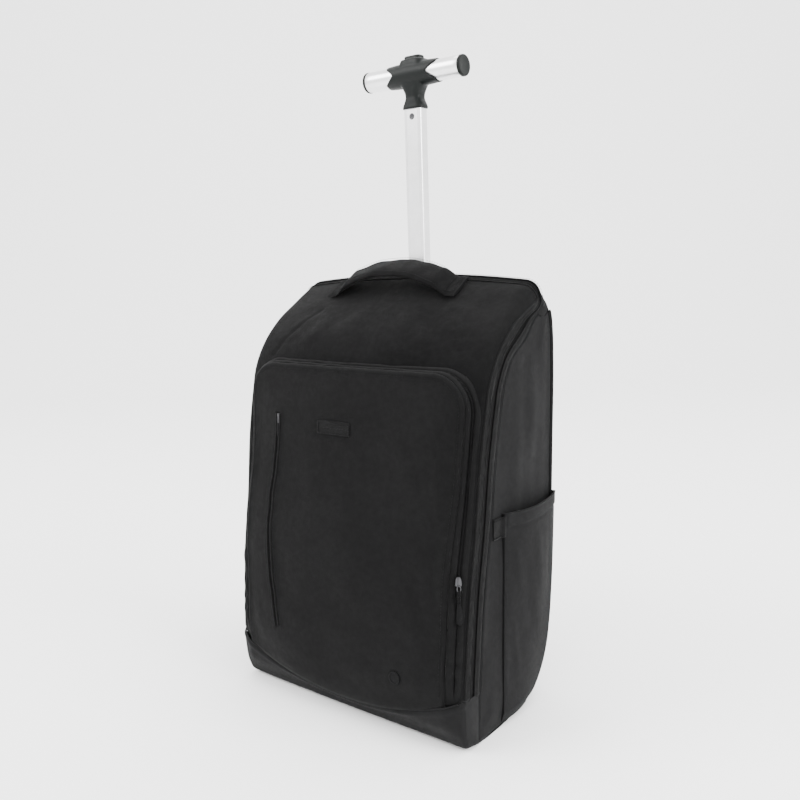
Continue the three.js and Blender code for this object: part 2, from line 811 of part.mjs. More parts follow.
function buildPocketFittings() {
  sewOnPocket('label_patch', plate(labelWidth, labelHeight, labelThick, 1), labelX, labelZ, finishes.trim);
  const disc = new THREE.CylinderGeometry(badgeRadius, badgeRadius, badgeThick, roundSides)
    .translate(0, -badgeThick / 2, 0);
  sewOnPocket('round_badge', disc, badgeX, badgeZ, finishes.trim);

  const curve = new THREE.CatmullRomCurve3(
    weltLine.map(([u, v]) => new THREE.Vector3(u * pocketWidth, 0, v * weltTop)));
  const rings = curve.getPoints(weltSteps).map(({ x, z }) => {
    const left = x - weltWidth / 2;
    const right = x + weltWidth / 2;
    const leftY = pocketY(left, z) - weltSeat;
    const rightY = pocketY(right, z) - weltSeat;
    return [[left, leftY, z], [left, leftY - weltThick, z],
      [right, rightY - weltThick, z], [right, rightY, z]];
  });
  addNode('welt_zip', loft(rings, [0, 1]), finishes.zip);
  const [topShare] = weltLine[0];
  const topX = topShare * pocketWidth;
  const pull = plate(weltPullWidth, weltPullLength, weltPullThick, 2);
  const pullZ = weltTop - weltPullLength / 2;
  const mesh = sewOnPocket('welt_zip_pull', pull, topX - weltPullWidth / 4, pullZ, finishes.slider);
  mesh.position.y -= weltSeat - pocketSeat + weltThick + 2 * gap;
  mesh.rotation.z = weltPullLean;
}

// The slider on the right side of the pocket's zip, with its cord pull
function buildSlider() {
  const y = (pocketFaceY(sliderZ) + bodyFrontY(sliderZ)) / 2;
  const x = (pocketWidth / 2 + halfWidth - pocketRearInset) / 2;
  const outwards = halfWidth - pocketRearInset - pocketWidth / 2;
  const turn = Math.atan2(bodyFrontY(sliderZ) - pocketFaceY(sliderZ), outwards);
  const seat = new THREE.Group();
  seat.position.set(x, y, sliderZ);
  seat.rotation.z = turn;
  group.add(seat);
  const body = plate(sliderWidth, sliderLength, sliderThick, 2).translate(0, -sliderSeat, 0);
  const slider = new THREE.Mesh(body, finishes.slider);
  slider.name = 'front_pocket_slider';
  seat.add(slider);
  const pull = plate(pullerWidth, pullerLength, pullerThick, 3)
    .translate(0, -sliderSeat, -pullerLength / 2 - sliderLength / 2 - gap);
  const puller = new THREE.Mesh(pull, finishes.trim);
  puller.name = 'front_pocket_puller';
  seat.add(puller);
}

// Side pockets: a sheet that stands off the side panel, open at the top
function sidePocketSection(z, wall) {
  const backY = Math.min(sidePocketBack, atHeight(backByHeight, z) - sidePocketBackTuck) - wall;
  const frontY = sidePocketFront + wall;
  const steps = 7;
  const sheet = [];
  for (let i = 0; i <= steps; i += 1) {
    const share = i / steps;
    const swell = Math.sin(Math.PI * share) * sidePocketBulge * (sidePocketLowSwell
      + (1 - sidePocketLowSwell) * THREE.MathUtils.clamp(z / sidePocketTop, 0, 1));
    const x = sidePocketEdge + swell - wall;
    sheet.push([frontY + (backY - frontY) * share, x]);
  }
  return { frontY, backY, sheet };
}

function sidePocketSolid(wall) {
  const heights = [0.02, 0.07, 0.14, 0.24, 0.4, 0.6, 0.8, 1];
  const inward = wall > 0 ? -clothWall / 2 : gap;
  const top = wall > 0 ? sidePocketTop + reach / 4 : sidePocketTop;
  const foot = sidePocketTop * heights[0] + wall;
  const rings = heights.map((share) => {
    const z = foot + (top - foot) * (share - heights[0]) / (1 - heights[0]);
    const { frontY, backY, sheet } = sidePocketSection(z, wall);
    const sideX = flared(halfWidth, z, widthFlare);
    const ring = sheet.map(([y, x]) => [sideX + x, y, z]);
    ring.push([sideX + inward, backY, z], [sideX + inward, frontY, z]);
    return ring;
  });
  return toSolid(loft(rings, [0, 1]));
}

function mirrored(geometry) {
  const copy = geometry.clone().applyMatrix4(new THREE.Matrix4().makeScale(-1, 1, 1));
  const index = copy.index.array;
  for (let i = 0; i < index.length; i += 3) [index[i + 1], index[i + 2]] = [index[i + 2], index[i + 1]];
  copy.computeVertexNormals();
  return copy;
}

const backByHeight = outlineRows.slice(backFirstRow).reverse().map(([y, z]) => [z, y]);

function buildSidePockets() {
  const pouch = sidePocketSolid(0).subtract(sidePocketSolid(sidePocketWall));
  const geometry = toGeometry(pouch);
  const tabRings = [tabTop - tabHeight, tabTop].map((z) => {
    const x = flared(halfWidth, z, widthFlare) + gap;
    return [[x, tabFront, z], [x + tabThick, tabFront, z], [x + tabThick, sidePocketFront - gap, z],
      [x, sidePocketFront - gap, z]];
  });
  const tab = loft(tabRings, [0, 1]);
  sides((name, sign) => {
    const place = (g) => (sign > 0 ? g : mirrored(g));
    addNode(`side_pocket_${name}`, place(geometry), finishes.side);
    addNode(`side_pocket_tab_${name}`, place(tab), finishes.webbing);
  });
}

// Carry handle: a padded strap that leaves the top at both ends and arches over it
function buildCarryHandle() {
  const rings = [];
  const half = carrySpan / 2;
  const rise = topZ(half, carryDepth + carryProbe) - topZ(half, carryDepth - carryProbe);
  const slope = Math.atan2(rise, 2 * carryProbe);
  for (let i = 0; i <= carrySteps; i += 1) {
    const x = -half - carryEnd + (carrySpan + 2 * carryEnd) * i / carrySteps;
    const share = THREE.MathUtils.clamp(1 - Math.abs(x) / half, 0, 1);
    const lift = carryRise * Math.sin(Math.PI / 2 * Math.min(1, share * carryEase));
    const thick = carryEndThick + (carryThick - carryEndThick) * Math.min(1, share * carryEndEase);
    const tilt = slope * (1 - carryLevel * lift / carryRise);
    const low = topZ(x + carryX, carryDepth) + carrySeat + lift;
    const along = [Math.cos(tilt), Math.sin(tilt)];
    const out = [-Math.sin(tilt), Math.cos(tilt)];
    rings.push(carrySection.map(([acrossShare, thickShare]) => {
      const a = acrossShare * carryWidth / 2;
      const t = thickShare * thick;
      return [x + carryX, carryDepth + a * along[0] + t * out[0], low + a * along[1] + t * out[1]];
    }));
  }
  addNode('carry_handle', loft(rings, [1, 2]), finishes.webbing);
}

// Pull handle: a flat pole that slides in a sleeve, with a bar across its top
const collarHalfWidth = poleWidth / 2 + collarWall;
const collarHalfDepth = poleThick / 2 + collarWall;
const hubTop = barZ + hubRadius + hubCrown;
const barEnd = barLength / 2 - capLength;
const gripBore = gripRadius - gripWall;

const barRod = (radius, x0, x1, segments) => toSolid(rod(radius, x0, x1, poleDepth, barZ, segments));

// The plate that follows the top round the pole's way out, with a throat down to the sleeve
function bezelSolid() {
  const skin = bodySolid(gap + bezelThick).subtract(bodyGrown);
  const outline = roundedRect(bezelWidth, bezelDepthSpan, bezelRound);
  const plateSolid = skin.intersect(toSolid(column(outline, poleDepth, sleeveTop, skyZ)));
  const throat = roundedRect(slotWidth + 2 * sleeveWall, slotThick + 2 * throatWall, sleeveRound);
  const throatTop = topZ(0, poleDepth);
  return plateSolid.add(toSolid(column(throat, poleDepth, sleeveTop + gap, throatTop))
    .intersect(bodySolid(gap + bezelThick)));
}

function neckSolid() {
  const neckHeight = barZ - collarFoot;
  const rings = neckShape.map(([share, wide, deep]) => [collarFoot + neckHeight * share, wide, deep]);
  rings.push([hubTop, neckTopWidth, neckTopDepth]);
  const squared = (value) => Math.sign(value) * Math.abs(value) ** neckSquareness;
  return toSolid(loft(rings.map(([z, wide, deep]) => {
    const ring = [];
    for (let i = 0; i < neckSides; i += 1) {
      const angle = Math.PI * 2 * i / neckSides;
      const x = squared(Math.cos(angle)) * collarHalfWidth * wide;
      const y = squared(Math.sin(angle)) * collarHalfDepth * deep;
      ring.push([x, poleDepth + y, z]);
    }
    return ring;
  }), [0, 1]));
}

// What the hub leaves free at one end of the bar: the grip's seat and the notch seen from the front
function gripSeat(sign) {
  const inner = sign * (gripStart - hubNotch);
  const outer = sign * (gripStart + gap);
  const [x0, x1] = [Math.min(inner, outer), Math.max(inner, outer)];
  const core = barRod(gripBore - gap, x0 - gap, x1 + gap, axleSides);
  const open = hubRadius * hubNotchOpen;
  const notch = prismY([[inner, barZ], [outer, barZ - open], [outer, barZ + open]],
    poleDepth - 2 * hubRadius, poleDepth + 2 * hubRadius);
  return barRod(gripRadius + gap, x0, x1, hubSides).add(toSolid(notch)).subtract(core);
}

function buildPullHandle() {
  const bezel = bezelSolid();
  const poleTravel = collarFoot - bezel.boundingBox().max[2] - stowGap;
  const poleFoot = bodyHeight - poleEngaged;
  const sleeveFoot = poleFoot - poleTravel - sleeveSpare;

  const outer = roundedRect(poleWidth, poleThick, poleRound);
  outer.holes.push(roundedRect(poleWidth - 2 * poleWall, poleThick - 2 * poleWall, poleRound - poleWall));
  const front = poleDepth - poleThick / 2;
  const recessRadius = screwRadius + gap;
  const recess = new THREE.CylinderGeometry(recessRadius, recessRadius, 2 * screwSink, axleSides)
    .translate(0, front, screwZ);
  const pole = toSolid(column(outer, poleDepth, poleFoot, poleTop)).subtract(toSolid(recess));
  addNode('pole', toGeometry(pole), finishes.aluminium);
  const screw = new THREE.CylinderGeometry(screwRadius, screwRadius, screwHead, axleSides)
    .translate(0, front + screwSink - gap - screwHead / 2, screwZ);
  addNode('pole_screw', screw, finishes.slider);

  const poleHole = column(roundedRect(poleWidth + 2 * gap, poleThick + 2 * gap, poleRound + gap), poleDepth,
    collarFoot - reach, poleTop + gap);
  const wellShape = roundedRect(buttonLength + 2 * gap, buttonDepth + 2 * gap, buttonRound + gap);
  const well = column(wellShape, poleDepth, hubTop - buttonWellDepth, skyZ + barZ);
  const hub = barRod(hubRadius, -gripStart, gripStart, hubSides)
    .add(neckSolid())
    .add(barRod(gripBore - gap, -barEnd + gap, barEnd - gap, axleSides))
    .subtract(gripSeat(1)).subtract(gripSeat(-1)).subtract(toSolid(poleHole)).subtract(toSolid(well));
  addNode('bar_hub', toGeometry(hub), finishes.plastic);
  const button = column(roundedRect(buttonLength, buttonDepth, buttonRound), poleDepth,
    hubTop - buttonWellDepth + buttonTravel + gap, hubTop + buttonRise);
  addNode('release_button', button, finishes.plastic);

  sides((name, sign) => {
    const lathe = (rows) => new THREE.LatheGeometry(rows.map(([r, h]) => new THREE.Vector2(r, h)), roundSides)
      .rotateZ(-sign * Math.PI / 2).translate(0, poleDepth, barZ);
    const inner = gripStart - hubNotch + gap;
    const outerEnd = barEnd - gap;
    const grip = lathe([[gripBore, inner], [gripRadius, inner], [gripRadius, outerEnd], [gripBore, outerEnd],
      [gripBore, inner]]);
    addNode(`grip_${name}`, grip, finishes.aluminium);
    const cap = lathe([[0, barEnd], [capRadius, barEnd], [capRadius, barEnd + capLength - capBevel],
      [capRadius - capBevel, barEnd + capLength], [0, barEnd + capLength]]);
    addNode(`grip_cap_${name}`, cap, finishes.plastic);
  });

  const channel = toSolid(column(roundedRect(slotWidth, slotThick, poleRound), poleDepth, -reach, skyZ));
  const sleeveBack = bodyDepth + backSwell - clothWall - gap;
  const spineTop = outlineRows[backFlatRow][1];
  const spineFoot = outlineRows[backFlatRow + 1][1];
  const spine = toSolid(box(-sleeveSpine / 2, sleeveSpine / 2, poleDepth, sleeveBack, spineFoot, spineTop));
  const tubeShape = roundedRect(slotWidth + 2 * sleeveWall, slotThick + 2 * sleeveWall, sleeveRound);
  const tube = toSolid(column(tubeShape, poleDepth, sleeveFoot, sleeveTop));
  addNode('pole_sleeve', toGeometry(tube.add(spine).subtract(channel)), finishes.plastic);
  addNode('pole_bezel', toGeometry(bezel.subtract(channel)), finishes.plastic);
}

// Wheels: a tyre and its hub, free on the axle
function buildWheels() {
  sides((name, sign) => {
    addNode(`wheel_housing_${name}`, toGeometry(housing(sign * wheelX)), finishes.plastic);
    const half = wheelWidth / 2;
    const rim = wheelRadius - treadThick;
    const lathe = (rows) => new THREE.LatheGeometry(rows.map(([r, h]) => new THREE.Vector2(r, h)), wheelSides)
      .rotateZ(Math.PI / 2).rotateX(Math.PI / wheelSides).translate(sign * wheelX, wheelDepth, wheelZ);
    const shoulder = wheelRadius - tyreShoulder;
    const tyre = lathe([[rim + gap, -half], [shoulder, -half], [wheelRadius, -half + tyreShoulder],
      [wheelRadius, half - tyreShoulder], [shoulder, half], [rim + gap, half], [rim + gap, -half]]);
    addNode(`wheel_tyre_${name}`, tyre, finishes.rubber);
    const bore = axleRadius + gap;
    const ring = bore + hubRing;
    const hub = lathe([[bore, -half], [ring, -half], [rim - hubRing, -half + hubDish], [rim, -half + hubLip],
      [rim, half - hubLip], [rim - hubRing, half - hubDish], [ring, half], [bore, half], [bore, -half]]);
    addNode(`wheel_hub_${name}`, hub, finishes.plastic);
  });
}

// Shoulder straps: a pad, a webbing below it and a ladder buckle between them
function strapLoft(x, width, thick, z0, z1, steps, bow) {
  const rings = [];
  for (let i = 0; i <= steps; i += 1) {
    const share = i / steps;
    const z = z0 + (z1 - z0) * share;
    const fromEnd = Math.min(share, 1 - share) * strapEndEase;
    const w = width / 2 * Math.min(1, strapEndWidth + fromEnd);
    const t = thick * Math.min(1, strapEndThick + fromEnd);
    rings.push(strapSection.map(([across, out]) => {
      const px = x + bow * Math.sin(Math.PI * share) + across * w;
      return [px, backY(px, z) + strapSeat + out * t, z];
    }));
  }
  return loft(rings, [0, 1]);
}

function buildStraps() {
  sides((name, sign) => {
    const x = sign * strapX;
    const pad = strapLoft(x, strapWidth, strapThick, strapPadFoot, strapTop, strapPadSteps, sign * strapBow);
    addNode(`strap_pad_${name}`, pad, finishes.shell);
    const buckleTop = strapPadFoot - gap;
    const buckleFoot = buckleTop - buckleHeight;
    const y = backY(sign * (strapX - buckleWidth / 2), buckleTop) + strapSeat;
    const buckle = plate(buckleWidth, buckleHeight, buckleThick, buckleRound)
      .translate(x, y + buckleThick, buckleFoot + buckleHeight / 2);
    addNode(`strap_buckle_${name}`, buckle, finishes.plastic);
    const top = buckleFoot - gap;
    const webbing = strapLoft(x, webbingWidth, webbingThick, strapFoot, top, strapWebbingSteps, 0);
    addNode(`strap_webbing_${name}`, webbing, finishes.webbing);
  });
}

buildBody();
buildFrontPocket();
buildPocketFittings();
buildSlider();
buildSidePockets();
buildCarryHandle();
buildPullHandle();
buildStraps();
buildWheels();

const middleDepth = new THREE.Box3().setFromObject(group).getCenter(new THREE.Vector3()).y;
for (const child of group.children) child.position.y -= middleDepth;

export default group;
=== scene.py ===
import math

import bmesh
import bpy
import numpy as np
from mathutils import Matrix, Vector


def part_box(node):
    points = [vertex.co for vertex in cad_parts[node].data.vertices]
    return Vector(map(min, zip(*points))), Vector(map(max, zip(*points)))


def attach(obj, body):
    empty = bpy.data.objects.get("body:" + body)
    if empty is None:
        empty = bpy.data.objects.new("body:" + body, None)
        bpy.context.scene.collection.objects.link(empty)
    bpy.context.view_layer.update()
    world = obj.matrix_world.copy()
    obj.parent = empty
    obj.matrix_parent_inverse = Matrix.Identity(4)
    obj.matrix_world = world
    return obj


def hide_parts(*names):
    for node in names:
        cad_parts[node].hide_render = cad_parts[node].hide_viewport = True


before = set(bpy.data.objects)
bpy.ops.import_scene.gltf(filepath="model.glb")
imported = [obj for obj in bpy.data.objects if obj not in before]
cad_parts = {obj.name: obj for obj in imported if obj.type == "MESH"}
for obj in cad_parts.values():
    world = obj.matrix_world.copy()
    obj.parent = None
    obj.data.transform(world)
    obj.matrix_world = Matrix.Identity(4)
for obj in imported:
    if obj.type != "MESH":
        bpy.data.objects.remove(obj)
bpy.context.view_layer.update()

# Everything is drawn in millimetres with Y = 0 at the bag's front foot line, as the solids are.
MM = 0.001
POLE_Y = 150.0
pole_low, pole_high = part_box("pole")
MID = POLE_Y - 500.0 * (pole_low[1] + pole_high[1])


def to_row(points):
    p = np.array(points, float)
    p[..., 1] -= MID
    return p * MM


# Camera: the photograph's angle, above the floor
CAM_F = 858.78 / 800 * 36
CAM_POS = (614.762, -681.267, 504.128)
CAM_RIGHT = (0.790098, 0.612190, -0.031133)
CAM_UP = (-0.075480, 0.147566, 0.986168)
CAM_FWD = (-0.608316, 0.776819, -0.162799)
def linked(name, data):
    obj = bpy.data.objects.new(name, data)
    bpy.context.scene.collection.objects.link(obj)
    return obj


cam = linked("camera", bpy.data.cameras.new("camera"))
cam.data.lens = CAM_F
cam.data.sensor_width = 36
cam.data.clip_start = 0.05
cam.matrix_world = Matrix((
    (CAM_RIGHT[0], CAM_UP[0], -CAM_FWD[0], CAM_POS[0] * MM),
    (CAM_RIGHT[1], CAM_UP[1], -CAM_FWD[1], (CAM_POS[1] - MID) * MM),
    (CAM_RIGHT[2], CAM_UP[2], -CAM_FWD[2], CAM_POS[2] * MM),
    (0, 0, 0, 1)))
bpy.context.scene.camera = cam

# Sizes shared with the solids. Only OUTLINE's upper front is fuller than theirs, as in the photograph,
# and CORNER, which rounds the side corners of the top, is this file's own.
SIDES = (("right", 1), ("left", -1))
FRONT = np.array([0.0, -1.0, 0.0])
HALF = 165.0
EDGE = 6.0
FLAT = HALF - EDGE
ARC = EDGE * math.pi / 2
SIDE0 = FLAT + ARC - EDGE
FLARE = 0.045
CORNER = 17.0
CROWN = 12.0
BODY_H = 475.0
BODY_D = 168.0
OUTLINE = np.array([
    [0.040, 0.000, 0.0], [-0.046, 0.010, 0.1], [-0.080, 0.036, 0.1], [-0.094, 0.076, 0.1],
    [-0.097, 0.116, 0.1], [-0.075, 0.232, 0.15], [-0.037, 0.358, 0.15], [0.018, 0.470, 0.2],
    [0.088, 0.650, 0.25], [0.140, 0.739, 0.4], [0.183, 0.797, 0.7], [0.306, 0.868, 1.0],
    [0.437, 0.911, 1.0], [0.594, 0.951, 1.0], [0.752, 0.988, 0.9], [0.833, 1.000, 0.8],
    [0.887, 0.992, 0.7], [0.930, 0.964, 0.7], [0.963, 0.934, 0.5], [0.988, 0.886, 0.3],
    [1.000, 0.817, 0.2], [1.000, 0.632, 0.2], [0.994, 0.421, 0.2], [0.976, 0.274, 0.2],
    [0.952, 0.190, 0.1], [0.917, 0.131, 0.1], [0.857, 0.084, 0.0], [0.780, 0.050, 0.0],
    [0.667, 0.021, 0.0], [0.548, 0.004, 0.0], [0.500, 0.000, 0.0]])
POCKET_FACE = np.array([
    [0.000, 0.010], [0.021, -0.066], [0.053, -0.118], [0.120, -0.142], [0.280, -0.121],
    [0.398, -0.098], [0.472, -0.058], [0.600, 0.021], [0.693, 0.053], [0.747, 0.065], [0.821, 0.068]])
POCKET_HALF = 148.0
POCKET_TOP = 389.0
POCKET_CORNER = 38.0
POCKET_FLARE = 0.09
REAR_HALF = 162.5
REAR_TOP = 392.0
REAR_CORNER = 48.0


# Curves

class Spline:
    """A smooth line through points, read by its length along the points."""

    def __init__(self, points, closed=False):
        p = np.array(points, float)
        if closed:
            p = np.vstack([p, p[:1]])
        self.closed = closed
        self.h = np.linalg.norm(np.diff(p[:, :2], axis=0), axis=1)
        self.s = np.concatenate([[0], np.cumsum(self.h)])
        self.length = self.s[-1]
        d = np.diff(p, axis=0) / self.h[:, None]
        m = np.zeros_like(p)
        for i in range(1, len(p) - 1):
            m[i] = (d[i - 1] * self.h[i] + d[i] * self.h[i - 1]) / (self.h[i - 1] + self.h[i])
        if closed:
            m[0] = m[-1] = (d[-1] * self.h[0] + d[0] * self.h[-1]) / (self.h[0] + self.h[-1])
        else:
            m[0], m[-1] = d[0], d[-1]
        self.p, self.m = p, m

    def at(self, s):
        s = np.asarray(s, float)
        s = s % self.length if self.closed else np.clip(s, 0, self.length)
        i = np.clip(np.searchsorted(self.s, s, side="right") - 1, 0, len(self.h) - 1)
        h = self.h[i]
        t = (s - self.s[i]) / h
        a, b, m0, m1 = self.p[i], self.p[i + 1], self.m[i], self.m[i + 1]
        t, h = t[..., None], h[..., None]
        return ((2 * t**3 - 3 * t**2 + 1) * a + (t**3 - 2 * t**2 + t) * h * m0
                + (-2 * t**3 + 3 * t**2) * b + (t**3 - t**2) * h * m1)

    def tangent(self, s):
        d = self.at(np.asarray(s) + 0.25) - self.at(np.asarray(s) - 0.25)
        return d / np.linalg.norm(d[..., :2], axis=-1, keepdims=True)


outline = Spline(OUTLINE * [BODY_D, BODY_H, CROWN], closed=True)
face_line = Spline(POCKET_FACE * [BODY_H, BODY_D])
face_z = np.linspace(0, face_line.length, 1500)
face_z, face_y = face_line.at(face_z).T
scan = np.linspace(0, outline.length, 6000)
scan_y, scan_z, _ = outline.at(scan).T
front_rows = scan < outline.s[15]
back_rows = (scan > outline.s[15]) & (scan < outline.s[28])


def s_front(z):
    return np.interp(z, scan_z[front_rows], scan[front_rows])


def s_top(y):
    rows = (scan > outline.s[5]) & (scan < outline.s[20])
    return np.interp(y, scan_y[rows], scan[rows])


def s_back(z):
    return np.interp(z, scan_z[back_rows][::-1], scan[back_rows][::-1])


def body_front_y(z):
    return np.interp(z, scan_z[front_rows], scan_y[front_rows])


def pocket_face_y(z):
    return np.interp(z, face_z, face_y)


def flared(x, z, flare=FLARE):
    return x * (1 + flare * (z / BODY_H - 0.5))


# On the sides the surface runs towards this line, given as (y, z)
SPINE_LOW = np.array([70.0, 20.0])
SPINE_HIGH = np.array([118.0, 392.0])


def body(s, w):
    """The body's surface: s runs round its side outline, w across it and then onto its sides."""
    s, w = np.broadcast_arrays(np.asarray(s, float), np.asarray(w, float))
    c = outline.at(s)
    t = outline.tangent(s)
    n = np.stack([-t[..., 1], t[..., 0]], -1)
    a = np.abs(w)
    phi = np.clip((a - FLAT) / EDGE, 0, math.pi / 2)
    x = np.minimum(a, FLAT) + EDGE * np.sin(phi)
    inset = EDGE * (1 - np.cos(phi))
    crown = np.clip(1 - (x / HALF)**2, 0, 1) * c[..., 2]
    p = c[..., :2] + n * (crown - inset)[..., None]
    beyond = np.maximum(a - FLAT - ARC, 0)
    axis = SPINE_HIGH - SPINE_LOW
    share = np.clip(((p - SPINE_LOW) @ axis) / (axis @ axis), 0, 1)
    inward = SPINE_LOW + share[..., None] * axis - p
    inward = inward / np.linalg.norm(inward, axis=-1, keepdims=True)
    p = p + inward * beyond[..., None]
    past = np.clip(np.abs(x) - (HALF - CORNER), 0, CORNER)
    drop = CORNER - np.sqrt(CORNER**2 - past**2 + 1e-9)
    p[..., 1] -= drop * step(p[..., 1], BODY_H - 45, BODY_H + 4)
    return np.stack([flared(x * np.sign(w), p[..., 1]), p[..., 0], p[..., 1]], -1)


# Small shape helpers

WAVES = 7


def waves(p, length, seed):
    """A smooth field of about plus or minus one, from a few plane waves."""
    rng = np.random.RandomState(seed)
    total = np.zeros(p.shape[:-1])
    for _ in range(WAVES):
        d = rng.normal(size=p.shape[-1])
        d /= np.linalg.norm(d)
        k = 2 * math.pi / (length * rng.uniform(0.7, 1.5))
        total += np.sin(p @ d * k + rng.uniform(0, 6.28))
    return total / math.sqrt(WAVES)


def bell(x, width):
    return np.exp(-(x / width)**2)


def hump(x):
    """A half wave that rises from 0 at 0 to 1 and falls to 0 at 1."""
    return np.sin(math.pi * x)


def segment_distance(u, v, a, b):
    ax, ay = a
    dx, dy = b[0] - ax, b[1] - ay
    t = np.clip(((u - ax) * dx + (v - ay) * dy) / (dx * dx + dy * dy), 0, 1)
    return np.hypot(u - ax - t * dx, v - ay - t * dy), t


def line_distance(u, v, points):
    best = np.full(np.shape(u), 1e9)
    for a, b in zip(points[:-1], points[1:]):
        best = np.minimum(best, segment_distance(u, v, a, b)[0])
    return best


def ridge(u, v, a, b, width, height):
    """A soft fold between two points that fades at its ends."""
    d, t = segment_distance(u, v, a, b)
    return height * bell(d, width) * hump(np.clip(t, 0.04, 0.96))


def folds(base, u, v, rows):
    for row in rows:
        base = base + ridge(u, v, *row)
    return base


def step(value, low, high):
    t = np.clip((value - low) / (high - low), 0, 1)
    return t * t * (3 - 2 * t)


def normals(p, away=None):
    du = np.gradient(p, axis=1)
    dv = np.gradient(p, axis=0)
    n = np.cross(du, dv)
    n /= np.maximum(np.linalg.norm(n, axis=-1, keepdims=True), 1e-9)
    if away is not None:
        middle = tuple(k // 2 for k in p.shape[:2])
        if np.dot(n[middle], p[middle] - np.array(away)) < 0:
            n = -n
    return n


INSIDE = (0.0, 70.0, 230.0)


def pushed(p, amount, away=INSIDE):
    return p + normals(p, away) * np.asarray(amount)[..., None]


def arc_uv(p):
    r, c = p.shape[:2]
    u = np.concatenate([[0], np.cumsum(np.linalg.norm(np.diff(p[r // 2], axis=0), axis=1))])
    v = np.concatenate([[0], np.cumsum(np.linalg.norm(np.diff(p[:, c // 2], axis=0), axis=1))])
    return np.stack(np.broadcast_arrays(u[None, :], v[:, None]), -1) * MM


def finish_piece(obj, on, nodes=()):
    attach(obj, on)
    if nodes:
        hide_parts(*nodes)


class Patch:
    """Collects grids and loose faces into one mesh."""

    def __init__(self):
        self.v, self.f, self.m, self.uv, self.n = [], [], [], [], 0

    def grid(self, p, mat=0, away=INSIDE, close=False, uv=None):
        r, c = p.shape[:2]
        idx = self.n + np.arange(r * c).reshape(r, c)
        cur = idx if close else idx[:, :-1]
        nxt = np.roll(idx, -1, axis=1) if close else idx[:, 1:]
        quads = np.stack([cur[:-1], nxt[:-1], nxt[1:], cur[1:]], -1).reshape(-1, 4)
        if away is not None:
            i, j = r // 2 - (r // 2 == r - 1), c // 2 - (c // 2 == c - 1)
            n = np.cross(p[i, j + 1] - p[i, j], p[i + 1, j] - p[i, j])
            if np.dot(n, p[i, j] - np.array(away)) < 0:
                quads = quads[:, ::-1]
        self.v.append(p.reshape(-1, 3))
        self.f += quads.tolist()
        self.m += [mat] * len(quads)
        self.uv.append((arc_uv(p) if uv is None else uv).reshape(-1, 2))
        self.n += r * c
        return idx

    def mesh(self, p, faces, mat=0):
        p = np.asarray(p, float)
        self.f += [[i + self.n for i in f] for f in faces]
        self.m += [mat] * len(faces)
        self.v.append(p)
        self.uv.append(p[:, :2] * MM)
        self.n += len(p)

    def cap(self, ring, mat=0):
        self.f.append(ring.tolist())
        self.m.append(mat)

    def closed(self, rings, mat=0):
        """Adds a row of rings as one skin with flat ends."""
        idx = self.grid(np.asarray(rings), mat, away=None, close=True)
        self.cap(idx[0], mat)
        self.cap(idx[-1], mat)

    def build(self, name, mats, on="bag", nodes=(), thick=0.0, merge=0.0, angle=45):
        mats = mats if isinstance(mats, (list, tuple)) else [mats]
        mesh = bpy.data.meshes.new(name)
        mesh.from_pydata(to_row(np.vstack(self.v)).tolist(), [], self.f)
        uv = np.vstack(self.uv)
        layer = mesh.uv_layers.new(name="weave")
        loops = np.zeros(len(mesh.loops), int)
        mesh.loops.foreach_get("vertex_index", loops)
        layer.data.foreach_set("uv", uv[loops].astype(np.float32).ravel())
        for m in mats:
            mesh.materials.append(m)
        mesh.polygons.foreach_set("material_index", self.m)
        if merge:
            reworked(mesh, lambda bm: bmesh.ops.remove_doubles(bm, verts=bm.verts, dist=merge * MM))
        shade_smooth(mesh, angle)
        obj = linked(name, mesh)
        if thick:
            mod = obj.modifiers.new("thickness", "SOLIDIFY")
            mod.thickness = thick * MM
            mod.offset = -1
        finish_piece(obj, on, nodes)
        return obj


def reworked(mesh, change):
    bm = bmesh.new()
    bm.from_mesh(mesh)
    change(bm)
    bm.to_mesh(mesh)
    bm.free()


def shade_smooth(mesh, angle):
    mesh.polygons.foreach_set("use_smooth", [True] * len(mesh.polygons))
    mesh.set_sharp_from_angle(angle=math.radians(angle))


def sheet(name, material, p, stands_for, thick):
    patch = Patch()
    patch.grid(p)
    patch.build(name, material, nodes=[stands_for], thick=thick)


def tangents(path):
    t = np.gradient(path, axis=0)
    return t / np.maximum(np.linalg.norm(t, axis=1, keepdims=True), 1e-9)


def smoothed(line, times):
    for _ in range(times):
        line[1:-1] = (line[:-2] + line[1:-1] + line[2:]) / 3
    return line


def circle(count):
    return np.linspace(0, 2 * math.pi, count + 1)[:-1]


def oval(across, up, lift=0.0, count=8):
    return [(across * math.cos(a), lift + up * math.sin(a)) for a in circle(count)]


def rib(patch, path, normal, profile, mat=0):
    """Sweeps a closed profile of (across, up) points along a path; up follows the normal."""
    normal = np.broadcast_to(normal, path.shape)
    across = np.cross(tangents(path), normal)
    patch.closed(np.stack([path + across * a + normal * u for a, u in profile], 1), mat)


def swept(patch, count, place, mat=0):
    """A closed skin of count lines; place gives each from the cosine and sine of its angle."""
    angles = [2 * math.pi * k / count for k in range(count)]
    patch.closed(np.stack([place(math.cos(a), math.sin(a)) for a in angles], 1), mat)


def resample(path, pitch):
    seg = np.linalg.norm(np.diff(path, axis=0), axis=1)
    s = np.concatenate([[0], np.cumsum(seg)])
    n = max(int(s[-1] / pitch), 2)
    q = np.linspace(0, s[-1], n + 1)
    return np.stack([np.interp(q, s, path[:, k]) for k in range(path.shape[1])], -1)


def evenly(line, count):
    return resample(line, np.linalg.norm(np.diff(line, axis=0), axis=1).sum() / (count - 0.5))[:count]


